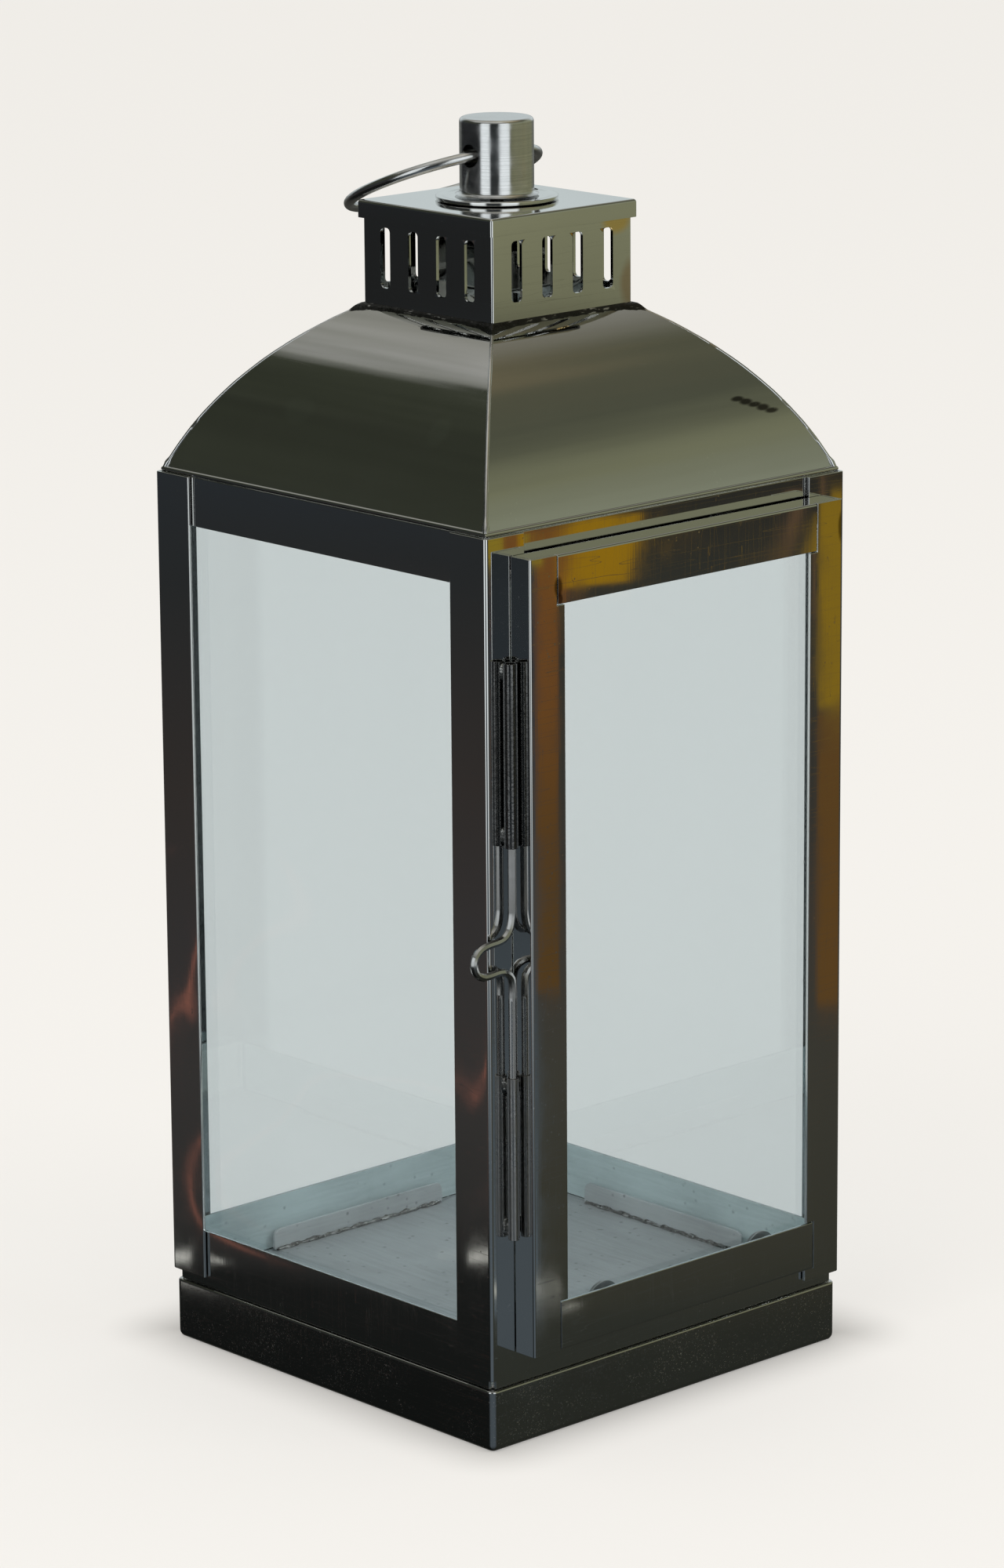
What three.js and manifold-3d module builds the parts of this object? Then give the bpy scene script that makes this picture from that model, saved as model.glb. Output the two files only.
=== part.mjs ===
// Candle lantern of polished sheet steel: a hollow foot, folded corner posts and rails,
// three fixed panes, a glazed door on two barrel hinges with a turned wire catch, a
// domed roof of four panels, a slotted vent box, and a carrying ring through a knob.
//
// Millimetres, +Z up, the door on the -Y side. The origin is the middle of the
// footprint, on the surface that the lantern stands on. The door and the catch stand
// out on two sides only, so the lantern's own centre line is a little off the origin.

import * as THREE from "three";
import { mergeVertices } from "three/addons/utils/BufferGeometryUtils.js";
import Module from "manifold-3d";

const wasm = await Module();
wasm.setup();

// ---- driving dimensions ----

const CENTRE_X = 4.4; // the lantern's centre line, from the middle of its footprint
const CENTRE_Y = 4.0;

const SHEET = 1.0; // wall of every folded steel piece
const GAP = 0.3; // air left between pieces that touch
const OVERSHOOT = 1.0; // how far a cutting solid runs past what it cuts

const BASE_HALF = 69.5;
const BASE_HEIGHT = 18.3;
const BASE_RETURN = 6.5; // the rim folded inwards, on which the lantern stands
const BASE_CORNER = 2.5;

const POST_OUTER = 70;
const POST_FLANGE = 14.5;
const POST_FOLD = 1.2;
const POST_BOTTOM = 21.5;
const POST_TOP = 262.8;

const WINDOW_BOTTOM = 35.8; // top edge of the bottom rails
const WINDOW_TOP = 248.4; // bottom edge of the top rails
const FLOOR_SHEET = 1.0;
const PANE_THICKNESS = 2.0;
const PANE_HALF = 65;
const PANE_TOP = 258;
const STRIP_HALF = 34; // retainer strips at the foot of the fixed panes
const STRIP_HEIGHT = 6.3;
const STRIP_CORNER = 2.5;

const DOOR_HALF = 61;
const DOOR_BOTTOM = 28.5;
const DOOR_TOP = 257;
const DOOR_DEPTH = 7.7;
const DOOR_STILE = 13; // face width at the window
const DOOR_RAIL_BOTTOM = 42.8;
const DOOR_RAIL_TOP = 243.2;
const DOOR_RAIL_HALF = 50.6; // the rails lap into notches in the stiles
const TAB_X = 31.5;
const TAB_RADIUS = 6.3;
const TAB_STEM = { bottom: 7.8, top: 6.6 };

const HINGE_X = 63.2;
const HINGE_Y = -72.3;
const HINGE_RADIUS = 1.9;
const HINGE_BORE = 1.05;
const PIN_RADIUS = 0.8;
const PIN_END = 0.6; // the pin stands out this far at each end
const HINGE_LEAF = 0.7;
const HINGE_POST_REACH = 3.6; // from the pin's axis to the free edge of each leaf
const HINGE_DOOR_REACH = 3.9;
const HINGE_BOTTOMS = [58, 206];
const KNUCKLE = 9;
const KNUCKLE_GAP = 0.4;

const LATCH_X = -63.4;
const LATCH_Y = -72.45;
const LATCH_WIRE_RADIUS = 1.1;
const UPPER_TUBE = { span: [176, 228], radius: 2.05, bore: 1.4 };
const LOWER_TUBE = { span: [63, 110], radius: 1.65, bore: 1.3 };

const ROOF_ARC_X = -20.76; // the panels' section is one arc about this line
const ROOF_ARC_Z = 228.24;
const ROOF_RADIUS = 95.74;
const ROOF_FOOT_Z = 263.1;
const ROOF_NECK = 27.6; // half width of the opening under the vent box
const ROOF_STEPS = 14;

const VENT_HALF = 27.0;
const VENT_BOTTOM = 309.0;
const VENT_TOP = 339.9;
const SLOT_WIDTH = 4.0;
const SLOT_BOTTOM = 316.7;
const SLOT_TOP = 334.0;
const SLOT_PITCH = 11.75;
const SLOTS = 4;

const LID_HALF = 28.2;
const LID_TOP = 341.2;
const LID_RIM_BOTTOM = 336.1;
const LID_RIM = 0.8;

const FLANGE_RADIUS = 17.5;
const FLANGE_BOTTOM = 341.5;
const FLANGE_TOP = 342.6;
const KNOB_RADIUS = 10.6;
const KNOB_BOTTOM = 342.9;
const KNOB_SHOULDER = 363.2;
const KNOB_TOP = 364.7;
const KNOB_FILLET = 1.4;
const KNOB_EDGE = { in: 1.5, shoulder: 0.5, rim: 0.4 }; // the softened edge of its crown
const KNOB_HOLE_RADIUS = 3.3;
const KNOB_HOLE_Z = 354.4;
const SCREW_RADIUS = 2.0;
const SCREW_CLEARANCE = 0.35;
const SCREW_HEAD_RADIUS = 3.8;
const SCREW_HEAD = [336.9, 339.9];
const SCREW_END = 349.2;

const RING_RADIUS = 28.0; // to the middle of the wire
const RING_WIRE = 1.5;
const RING_OFFSET = 26.5; // ring centre to the middle of the knob's hole, along its lean
const RING_SHIFT = 1.8; // and to the right, because it hangs a little askew in the hole
const RING_LEAN = THREE.MathUtils.degToRad(21.9); // below level, resting by the lid's back edge

// ---- finishes ----

function steel(name, color, roughness) {
  const material = new THREE.MeshStandardMaterial({ color, roughness, metalness: 1.0 });
  material.name = name;
  return material;
}

const polished = steel("polished_steel", 0xb9b9b5, 0.12);
const brushed = steel("brushed_steel", 0xc6c7c4, 0.3);
const wireSteel = steel("wire_steel", 0xc9c9c6, 0.2);
const dullSteel = steel("dull_steel", 0xa9aba8, 0.4);
const glass = new THREE.MeshStandardMaterial({
  color: 0xdfe9e8,
  roughness: 0.05,
  metalness: 0.0,
  transparent: true,
  opacity: 0.3,
});
glass.name = "window_glass";

// ---- solids ----

const lantern = new THREE.Group();
lantern.name = "lantern";
lantern.position.set(CENTRE_X, CENTRE_Y, 0);

function place(name, geometry, material) {
  const mesh = new THREE.Mesh(geometry, material);
  mesh.name = name;
  lantern.add(mesh);
  return mesh;
}

// A box between two values on each axis.
function block([x0, x1], [y0, y1], [z0, z1]) {
  const geometry = new THREE.BoxGeometry(x1 - x0, y1 - y0, z1 - z0);
  return geometry.translate((x0 + x1) / 2, (y0 + y1) / 2, (z0 + z1) / 2);
}

function rod(radius, [z0, z1], sides) {
  const geometry = new THREE.CylinderGeometry(radius, radius, z1 - z0, sides);
  return geometry.rotateX(Math.PI / 2).translate(0, 0, (z0 + z1) / 2);
}

// A closed outline drawn in X and Z, given a thickness along Y from y0 to y1.
function plate(shape, [y0, y1]) {
  const options = { depth: y1 - y0, bevelEnabled: false, curveSegments: 8 };
  return new THREE.ExtrudeGeometry(shape, options).rotateX(Math.PI / 2).translate(0, y1, 0);
}

function solid(geometry) {
  const bare = geometry.index ? geometry.toNonIndexed() : geometry.clone();
  bare.deleteAttribute("normal");
  bare.deleteAttribute("uv");
  const merged = mergeVertices(bare, 1e-4);
  const vertProperties = new Float32Array(merged.attributes.position.array);
  const triVerts = new Uint32Array(merged.index.array);
  return new wasm.Manifold(new wasm.Mesh({ numProp: 3, vertProperties, triVerts }));
}

function geometryOf(manifold) {
  const mesh = manifold.getMesh();
  const geometry = new THREE.BufferGeometry();
  geometry.setAttribute("position", new THREE.BufferAttribute(mesh.vertProperties, 3));
  geometry.setIndex(new THREE.BufferAttribute(mesh.triVerts, 1));
  return geometry;
}

function join(first, ...others) {
  return geometryOf(others.reduce((sum, piece) => sum.add(solid(piece)), solid(first)));
}

function cut(body, ...tools) {
  return geometryOf(tools.reduce((left, tool) => left.subtract(solid(tool)), solid(body)));
}

function roundedSquare(half, radius) {
  const shape = new THREE.Shape();
  const flat = half - radius;
  shape.absarc(flat, flat, radius, 0, Math.PI / 2);
  shape.absarc(-flat, flat, radius, Math.PI / 2, Math.PI);
  shape.absarc(-flat, -flat, radius, Math.PI, Math.PI * 1.5);
  shape.absarc(flat, -flat, radius, Math.PI * 1.5, Math.PI * 2);
  return shape;
}

function prism(shape, [z0, z1], curveSegments = 6) {
  const options = { depth: z1 - z0, bevelEnabled: false, curveSegments };
  return new THREE.ExtrudeGeometry(shape, options).translate(0, 0, z0);
}

// The four sides, each with the turn that takes a piece made for the back (+Y) there.
const SIDES = [
  ["back", 0],
  ["left", Math.PI / 2],
  ["front", Math.PI],
  ["right", -Math.PI / 2],
];
const GLAZED = SIDES.filter(([side]) => side !== "front");

// ---- foot ----

const baseShell = prism(roundedSquare(BASE_HALF, BASE_CORNER), [0, BASE_HEIGHT]);
const baseInner = BASE_HALF - SHEET;
const baseHollow = prism(roundedSquare(baseInner, BASE_CORNER - SHEET), [SHEET, BASE_HEIGHT - SHEET]);
const baseMouth = prism(roundedSquare(BASE_HALF - BASE_RETURN, BASE_CORNER), [-OVERSHOOT, 2 * SHEET]);
place("base_tray", cut(baseShell, baseHollow, baseMouth), polished);

const FLOOR_BOTTOM = BASE_HEIGHT + GAP;
const FLOOR_TOP = FLOOR_BOTTOM + FLOOR_SHEET;
const RAIL_OUTER = POST_OUTER - SHEET - GAP;
const RAIL_INNER = RAIL_OUTER - SHEET;
const FLOOR_HALF = RAIL_INNER - GAP;
const floorSpan = [-FLOOR_HALF, FLOOR_HALF];
place("floor_plate", block(floorSpan, floorSpan, [FLOOR_BOTTOM, FLOOR_TOP]), dullSteel);

// ---- corner posts ----

function postGeometry() {
  const shape = new THREE.Shape();
  const end = POST_OUTER - POST_FLANGE;
  const inner = POST_OUTER - SHEET;
  shape.moveTo(end, POST_OUTER);
  shape.lineTo(end, inner);
  shape.lineTo(inner, inner);
  shape.lineTo(inner, end);
  shape.lineTo(POST_OUTER, end);
  shape.lineTo(POST_OUTER, POST_OUTER - POST_FOLD);
  shape.absarc(POST_OUTER - POST_FOLD, POST_OUTER - POST_FOLD, POST_FOLD, 0, Math.PI / 2);
  return prism(shape, [POST_BOTTOM, POST_TOP]);
}

const POSTS = [
  ["back_right", 0],
  ["back_left", Math.PI / 2],
  ["front_left", Math.PI],
  ["front_right", -Math.PI / 2],
];
for (const [corner, turn] of POSTS) {
  place("post_" + corner, postGeometry(), polished).rotation.z = turn;
}

// ---- rails, fixed panes and their retainer strips ----

function stripShape() {
  const shape = new THREE.Shape();
  const bottom = FLOOR_TOP + GAP;
  const top = bottom + STRIP_HEIGHT;
  const arcZ = top - STRIP_CORNER;
  const arcX = STRIP_HALF - STRIP_CORNER;
  shape.moveTo(-STRIP_HALF, bottom);
  shape.lineTo(STRIP_HALF, bottom);
  shape.absarc(arcX, arcZ, STRIP_CORNER, 0, Math.PI / 2);
  shape.absarc(-arcX, arcZ, STRIP_CORNER, Math.PI / 2, Math.PI);
  return shape;
}

const railSpan = [-FLOOR_HALF, FLOOR_HALF];
const railDepth = [RAIL_INNER, RAIL_OUTER];
for (const [side, turn] of SIDES) {
  const bottomRail = block(railSpan, railDepth, [FLOOR_BOTTOM, WINDOW_BOTTOM]);
  const topRail = block(railSpan, railDepth, [WINDOW_TOP, POST_TOP]);
  place("rail_bottom_" + side, bottomRail, polished).rotation.z = turn;
  place("rail_top_" + side, topRail, polished).rotation.z = turn;
}

const paneOuter = RAIL_INNER - GAP;
const paneInner = paneOuter - PANE_THICKNESS;
const stripOuter = paneInner - GAP;
for (const [side, turn] of GLAZED) {
  const paneHeight = [FLOOR_TOP + GAP, PANE_TOP];
  const pane = block([-PANE_HALF, PANE_HALF], [paneInner, paneOuter], paneHeight);
  const strip = plate(stripShape(), [stripOuter - SHEET, stripOuter]);
  place("glass_" + side, pane, glass).rotation.z = turn;
  place("glass_strip_" + side, strip, dullSteel).rotation.z = turn;
}

// ---- door ----

const DOOR_BACK = -POST_OUTER - GAP;
const DOOR_FRONT = DOOR_BACK - DOOR_DEPTH;
const DOOR_FACE = [DOOR_FRONT, DOOR_FRONT + SHEET];
const WINDOW_HALF = DOOR_HALF - DOOR_STILE;

// The left stile: a face notched at both ends for the rails, and a side folded back.
function stileGeometry() {
  const notch = -DOOR_RAIL_HALF - GAP;
  const low = DOOR_RAIL_BOTTOM + GAP;
  const high = DOOR_RAIL_TOP - GAP;
  const face = new THREE.Shape();
  face.moveTo(-DOOR_HALF, DOOR_BOTTOM);
  face.lineTo(notch, DOOR_BOTTOM);
  face.lineTo(notch, low);
  face.lineTo(-WINDOW_HALF, low);
  face.lineTo(-WINDOW_HALF, high);
  face.lineTo(notch, high);
  face.lineTo(notch, DOOR_TOP);
  face.lineTo(-DOOR_HALF, DOOR_TOP);
  const sideX = [-DOOR_HALF, -DOOR_HALF + SHEET];
  const side = block(sideX, [DOOR_FRONT, DOOR_BACK], [DOOR_BOTTOM, DOOR_TOP]);
  return join(plate(face, DOOR_FACE), side);
}

// The bottom rail: a face between the stiles, and its lower edge folded back.
function railGeometry(height) {
  const faceX = [-DOOR_RAIL_HALF, DOOR_RAIL_HALF];
  const foldHalf = DOOR_HALF - SHEET - GAP;
  const foldX = [-foldHalf, foldHalf];
  const foldY = [DOOR_FACE[1] + GAP, DOOR_BACK];
  const face = block(faceX, DOOR_FACE, [0, height]);
  const neck = block(faceX, [DOOR_FRONT, DOOR_BACK], [0, SHEET]);
  const fold = block(foldX, foldY, [0, SHEET]);
  return join(face, neck, fold);
}

function mirroredX(geometry) {
  return geometryOf(solid(geometry).mirror([1, 0, 0]));
}

function mirroredZ(geometry) {
  return geometryOf(solid(geometry).mirror([0, 0, 1]));
}

place("door_stile_left", stileGeometry(), polished);
place("door_stile_right", mirroredX(stileGeometry()), polished);
const lowerRail = railGeometry(DOOR_RAIL_BOTTOM - DOOR_BOTTOM);
const upperRail = mirroredZ(railGeometry(DOOR_TOP - DOOR_RAIL_TOP));
place("door_rail_bottom", lowerRail, polished).position.z = DOOR_BOTTOM;
place("door_rail_top", upperRail, polished).position.z = DOOR_TOP;

const DOOR_PANE_HALF = DOOR_HALF - SHEET - 4 * GAP;
const DOOR_PANE_LAP = 6;
const paneY = DOOR_FACE[1] + GAP;
const doorPaneY = [paneY, paneY + PANE_THICKNESS];
const doorPaneZ = [DOOR_RAIL_BOTTOM - DOOR_PANE_LAP, DOOR_RAIL_TOP + DOOR_PANE_LAP];
const doorPane = block([-DOOR_PANE_HALF, DOOR_PANE_HALF], doorPaneY, doorPaneZ);
place("door_glass", doorPane, glass);

// A round-ended tab behind the pane, with a foot on the rail's folded edge.
function tabGeometry(height) {
  const stem = new THREE.Shape();
  const foot = SHEET + GAP;
  const arcZ = foot + height;
  stem.moveTo(-TAB_RADIUS, foot);
  stem.lineTo(TAB_RADIUS, foot);
  stem.absarc(0, arcZ, TAB_RADIUS, 0, Math.PI);
  const y = doorPaneY[1] + GAP;
  const upright = plate(stem, [y, y + SHEET]);
  const footPlate = block([-TAB_RADIUS, TAB_RADIUS], [y, DOOR_BACK], [foot, foot + SHEET]);
  return join(upright, footPlate);
}

for (const [side, x] of [["left", -TAB_X], ["right", TAB_X]]) {
  const lowerTab = tabGeometry(TAB_STEM.bottom);
  const upperTab = mirroredZ(tabGeometry(TAB_STEM.top));
  place("door_tab_bottom_" + side, lowerTab, dullSteel).position.set(x, 0, DOOR_BOTTOM);
  place("door_tab_top_" + side, upperTab, dullSteel).position.set(x, 0, DOOR_TOP);
}

// ---- door hinges ----

// Three knuckles high: the post's leaf has the outer two, the door's has the middle one.
function knuckle(z) {
  const barrel = rod(HINGE_RADIUS, [z, z + KNUCKLE], 20);
  return barrel.translate(HINGE_X, HINGE_Y, 0);
}

function hingeBore() {
  const length = [-OVERSHOOT, 2 * KNUCKLE_PITCH + KNUCKLE + OVERSHOOT];
  return rod(HINGE_BORE, length, 20).translate(HINGE_X, HINGE_Y, 0);
}

const KNUCKLE_PITCH = KNUCKLE + KNUCKLE_GAP;

function postLeaf() {
  const leafY = [-POST_OUTER - GAP - HINGE_LEAF, -POST_OUTER - GAP];
  const height = [0, 2 * KNUCKLE_PITCH + KNUCKLE];
  const leaf = block([HINGE_X - HINGE_RADIUS / 2, HINGE_X + HINGE_POST_REACH], leafY, height);
  const relief = block(
    [HINGE_X - 2 * HINGE_RADIUS, HINGE_X + HINGE_RADIUS + GAP],
    [-POST_OUTER - GAP - 2 * HINGE_LEAF, -POST_OUTER],
    [KNUCKLE, KNUCKLE + 2 * KNUCKLE_GAP + KNUCKLE],
  );
  const whole = join(leaf, knuckle(0), knuckle(2 * KNUCKLE_PITCH));
  return cut(whole, relief, hingeBore());
}

function doorLeaf() {
  const leafX = [DOOR_HALF + GAP, DOOR_HALF + GAP + HINGE_LEAF];
  const height = [KNUCKLE_PITCH, KNUCKLE_PITCH + KNUCKLE];
  const leaf = block(leafX, [HINGE_Y - HINGE_DOOR_REACH, HINGE_Y], height);
  return cut(join(leaf, knuckle(KNUCKLE_PITCH)), hingeBore());
}

HINGE_BOTTOMS.forEach((z, index) => {
  const level = ["lower", "upper"][index];
  const pin = rod(PIN_RADIUS, [-PIN_END, 2 * KNUCKLE_PITCH + KNUCKLE + PIN_END], 16);
  place("hinge_post_" + level, postLeaf(), dullSteel).position.z = z;
  place("hinge_door_" + level, doorLeaf(), dullSteel).position.z = z;
  place("hinge_pin_" + level, pin, wireSteel).position.set(HINGE_X, HINGE_Y, z);
});

// ---- catch ----

function tubeGeometry({ span: [z0, z1], radius, bore }) {
  const profile = [
    [bore, z0],
    [radius, z0],
    [radius, z1],
    [bore, z1],
    [bore, z0],
  ].map(([r, z]) => new THREE.Vector2(r, z));
  return new THREE.LatheGeometry(profile, 20).rotateX(Math.PI / 2);
}

for (const [level, tube] of [["upper", UPPER_TUBE], ["lower", LOWER_TUBE]]) {
  place("latch_tube_" + level, tubeGeometry(tube), wireSteel).position.set(LATCH_X, LATCH_Y, 0);
}

// One wire: straight in both tubes, with an ear-shaped thumb loop between them. Each
// point is a distance out from the wire's own axis, and a height.
const LATCH_ROUTE = [
  [0, 225], [0, 196], [0, 172], [0, 160], [0.1, 156], [0.9, 152.8], [2.9, 150.7],
  [5.6, 150], [8.6, 149.8], [11.6, 149.1], [13.8, 147.2], [14.3, 144.7], [13.2, 142.4],
  [10.8, 141.1], [8, 141.1], [4.8, 141.3], [2.2, 140.7], [0.5, 139.2], [0, 136.8],
  [0, 132], [0, 116], [0, 90], [0, 66],
];
const LATCH_STEPS = 128;

function latchGeometry() {
  const points = LATCH_ROUTE.map(([out, z]) => new THREE.Vector3(-out, 0, z));
  const section = new THREE.Shape();
  section.absarc(0, 0, LATCH_WIRE_RADIUS, 0, Math.PI * 2);
  const extrudePath = new THREE.CatmullRomCurve3(points, false, "centripetal");
  return new THREE.ExtrudeGeometry(section, { steps: LATCH_STEPS, extrudePath, curveSegments: 4 });
}

place("latch_wire", latchGeometry(), wireSteel).position.set(LATCH_X, LATCH_Y, 0);

// ---- roof ----

// Each panel's section is an arc. Its ends are mitred to meet the next panel at the hip.
function roofPanel() {
  const foot = Math.asin((ROOF_FOOT_Z - ROOF_ARC_Z) / ROOF_RADIUS);
  const neck = Math.acos((ROOF_NECK - ROOF_ARC_X) / ROOF_RADIUS);
  const section = new THREE.Shape();
  section.absarc(ROOF_ARC_X, ROOF_ARC_Z, ROOF_RADIUS, foot, neck, false);
  section.absarc(ROOF_ARC_X, ROOF_ARC_Z, ROOF_RADIUS - SHEET, neck, foot, true);
  const depth = 2 * POST_OUTER;
  const options = { depth, bevelEnabled: false, curveSegments: ROOF_STEPS };
  const sweep = new THREE.ExtrudeGeometry(section, options);
  sweep.rotateX(Math.PI / 2).translate(0, POST_OUTER, 0).rotateZ(Math.PI / 2);
  const wedge = new THREE.Shape();
  wedge.moveTo(0, GAP);
  wedge.lineTo(POST_OUTER, POST_OUTER + GAP);
  wedge.lineTo(-POST_OUTER, POST_OUTER + GAP);
  const mitre = prism(wedge, [0, 2 * ROOF_FOOT_Z]);
  return geometryOf(solid(sweep).intersect(solid(mitre)));
}

for (const [side, turn] of SIDES) {
  place("roof_" + side, roofPanel(), polished).rotation.z = turn;
}

// ---- vent box and lid ----

function ventBox() {
  const inner = VENT_HALF - SHEET;
  const outside = block([-VENT_HALF, VENT_HALF], [-VENT_HALF, VENT_HALF], [VENT_BOTTOM, VENT_TOP]);
  const inside = block([-inner, inner], [-inner, inner], [VENT_BOTTOM - OVERSHOOT, VENT_TOP + OVERSHOOT]);
  const tools = [inside];
  for (let i = 0; i < SLOTS; i += 1) {
    const middle = (i - (SLOTS - 1) / 2) * SLOT_PITCH;
    const across = [middle - SLOT_WIDTH / 2, middle + SLOT_WIDTH / 2];
    const through = [-VENT_HALF - OVERSHOOT, VENT_HALF + OVERSHOOT];
    tools.push(block(across, through, [SLOT_BOTTOM, SLOT_TOP]));
    tools.push(block(through, across, [SLOT_BOTTOM, SLOT_TOP]));
  }
  return cut(outside, ...tools);
}

function screwHole(span) {
  return rod(SCREW_RADIUS + SCREW_CLEARANCE, span, 24);
}

function ventLid() {
  const outer = [-LID_HALF, LID_HALF];
  const rim = [-LID_HALF + LID_RIM, LID_HALF - LID_RIM];
  const cap = block(outer, outer, [LID_RIM_BOTTOM, LID_TOP]);
  const hollow = block(rim, rim, [LID_RIM_BOTTOM - OVERSHOOT, LID_TOP - SHEET]);
  return cut(cap, hollow, screwHole([LID_RIM_BOTTOM, LID_TOP + OVERSHOOT]));
}

place("vent_box", ventBox(), polished);
place("vent_lid", ventLid(), polished);

// ---- knob, its flange and its screw ----

const flangeDisc = rod(FLANGE_RADIUS, [FLANGE_BOTTOM, FLANGE_TOP], 48);
const flangeHole = screwHole([FLANGE_BOTTOM - OVERSHOOT, FLANGE_TOP + OVERSHOOT]);
place("knob_flange", cut(flangeDisc, flangeHole), polished);

function knobGeometry() {
  const outline = new THREE.Path();
  outline.moveTo(0, KNOB_BOTTOM);
  outline.lineTo(KNOB_RADIUS + KNOB_FILLET, KNOB_BOTTOM);
  outline.quadraticCurveTo(KNOB_RADIUS, KNOB_BOTTOM, KNOB_RADIUS, KNOB_BOTTOM + KNOB_FILLET);
  outline.lineTo(KNOB_RADIUS, KNOB_SHOULDER);
  const edgeX = KNOB_RADIUS - KNOB_EDGE.in;
  outline.quadraticCurveTo(KNOB_RADIUS, KNOB_TOP - KNOB_EDGE.shoulder, edgeX, KNOB_TOP - KNOB_EDGE.rim);
  outline.quadraticCurveTo(KNOB_RADIUS / 2, KNOB_TOP, 0, KNOB_TOP);
  const turned = new THREE.LatheGeometry(outline.getPoints(4), 48).rotateX(Math.PI / 2);
  const crossHole = rod(KNOB_HOLE_RADIUS, [-2 * KNOB_RADIUS, 2 * KNOB_RADIUS], 28);
  crossHole.rotateY(Math.PI / 2).translate(0, 0, KNOB_HOLE_Z);
  return cut(turned, crossHole, screwHole([KNOB_BOTTOM - OVERSHOOT, SCREW_END + GAP]));
}

place("knob", knobGeometry(), brushed);

const screwShank = rod(SCREW_RADIUS, [SCREW_HEAD[0], SCREW_END], 16);
const screwHead = rod(SCREW_HEAD_RADIUS, SCREW_HEAD, 6);
place("knob_screw", join(screwShank, screwHead), dullSteel);

// ---- carrying ring ----

const ring = place("carry_ring", new THREE.TorusGeometry(RING_RADIUS, RING_WIRE, 10, 64), wireSteel);
ring.rotation.x = -RING_LEAN;
ring.position.set(
  RING_SHIFT,
  RING_OFFSET * Math.cos(RING_LEAN),
  KNOB_HOLE_Z - RING_OFFSET * Math.sin(RING_LEAN),
);

export default lantern;
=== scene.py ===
import math
import bmesh
import bpy
from mathutils import Matrix, Vector


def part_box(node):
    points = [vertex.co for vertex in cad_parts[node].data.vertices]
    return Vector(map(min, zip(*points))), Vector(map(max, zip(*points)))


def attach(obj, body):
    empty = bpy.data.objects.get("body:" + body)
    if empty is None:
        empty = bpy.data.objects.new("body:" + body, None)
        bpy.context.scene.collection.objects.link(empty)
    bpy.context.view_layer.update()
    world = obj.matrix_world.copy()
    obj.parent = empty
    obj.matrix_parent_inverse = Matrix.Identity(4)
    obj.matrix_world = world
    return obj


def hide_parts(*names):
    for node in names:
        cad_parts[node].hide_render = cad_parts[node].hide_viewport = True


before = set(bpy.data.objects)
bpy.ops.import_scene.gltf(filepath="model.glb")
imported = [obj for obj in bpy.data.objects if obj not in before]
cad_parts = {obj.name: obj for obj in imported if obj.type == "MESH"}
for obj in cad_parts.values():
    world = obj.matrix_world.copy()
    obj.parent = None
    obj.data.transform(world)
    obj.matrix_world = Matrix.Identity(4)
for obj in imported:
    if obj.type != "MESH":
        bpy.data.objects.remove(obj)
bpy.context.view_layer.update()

# ---------------------------------------------------------------------------------------
# The foot. A shallow tray of mirror-polished stainless sheet, pressed with soft corners
# and turned upside down. Its lower edge is folded in, and the lantern stands on that rim.
# ---------------------------------------------------------------------------------------
MM = 0.001
# Points closer than WELD are one point. An edge within TOUCH of a border lies on it.
WELD = 0.01 * MM
TOUCH = 0.1 * MM
FOOT_TOP_FOLD = 0.7 * MM
FOOT_BOTTOM_FOLD = 2.1 * MM
FOOT_RIM = 6.5 * MM

# The lantern is square, and its centre line runs up through the middle of the foot.
foot_low, foot_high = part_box("base_tray")
CX = (foot_low.x + foot_high.x) / 2
CY = (foot_low.y + foot_high.y) / 2


def only(piece):
    """Selects one piece and nothing else."""
    if bpy.context.mode != "OBJECT":
        bpy.ops.object.mode_set(mode="OBJECT")
    bpy.ops.object.select_all(action="DESELECT")
    piece.select_set(True)
    bpy.context.view_layer.objects.active = piece


def edit(piece):
    """Opens one piece in edit mode with nothing selected."""
    only(piece)
    bpy.ops.object.mode_set(mode="EDIT")
    bpy.ops.mesh.select_all(action="DESELECT")


def done():
    """Closes the piece that is open in edit mode."""
    bpy.ops.object.mode_set(mode="OBJECT")


def pick(kind, test):
    """In edit mode, selects the vertices, edges or faces that pass a test, and counts them."""
    bpy.ops.mesh.select_mode(type=kind)
    bpy.ops.mesh.select_all(action="DESELECT")
    sheet = bmesh.from_edit_mesh(bpy.context.object.data)
    sheet.normal_update()
    items = {"VERT": sheet.verts, "EDGE": sheet.edges, "FACE": sheet.faces}[kind]
    chosen = [item for item in items if test(item)]
    for item in chosen:
        item.select_set(True)
    bmesh.update_edit_mesh(bpy.context.object.data)
    return len(chosen)


def edge_line(edge):
    """The direction of an edge, without its sign, and its middle."""
    start, end = (v.co for v in edge.verts)
    along = (end - start).normalized()
    return Vector((abs(along.x), abs(along.y), abs(along.z))), (start + end) / 2


def from_middle(edge):
    """How far an edge's middle is from the lantern's centre line, to the side or to the front."""
    at = edge_line(edge)[1]
    return max(abs(at.x - CX), abs(at.y - CY))


def is_sharp(edge, degrees=50):
    """Whether the two faces at an edge turn by more than this."""
    return len(edge.link_faces) == 2 and edge.calc_face_angle(0) > math.radians(degrees)


def apply_modifier(piece, kind, **settings):
    """Adds one modifier and applies it."""
    only(piece)
    added = piece.modifiers.new(kind.lower(), kind)
    for key, value in settings.items():
        setattr(added, key, value)
    bpy.ops.object.modifier_apply(modifier=added.name)


def smooth(piece, degrees=35):
    """Shades a piece smooth over every turn smaller than this, with its flat faces kept flat."""
    only(piece)
    bpy.ops.object.shade_smooth_by_angle(angle=math.radians(degrees))
    apply_modifier(piece, "WEIGHTED_NORMAL", weight=100, keep_sharp=True)


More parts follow.
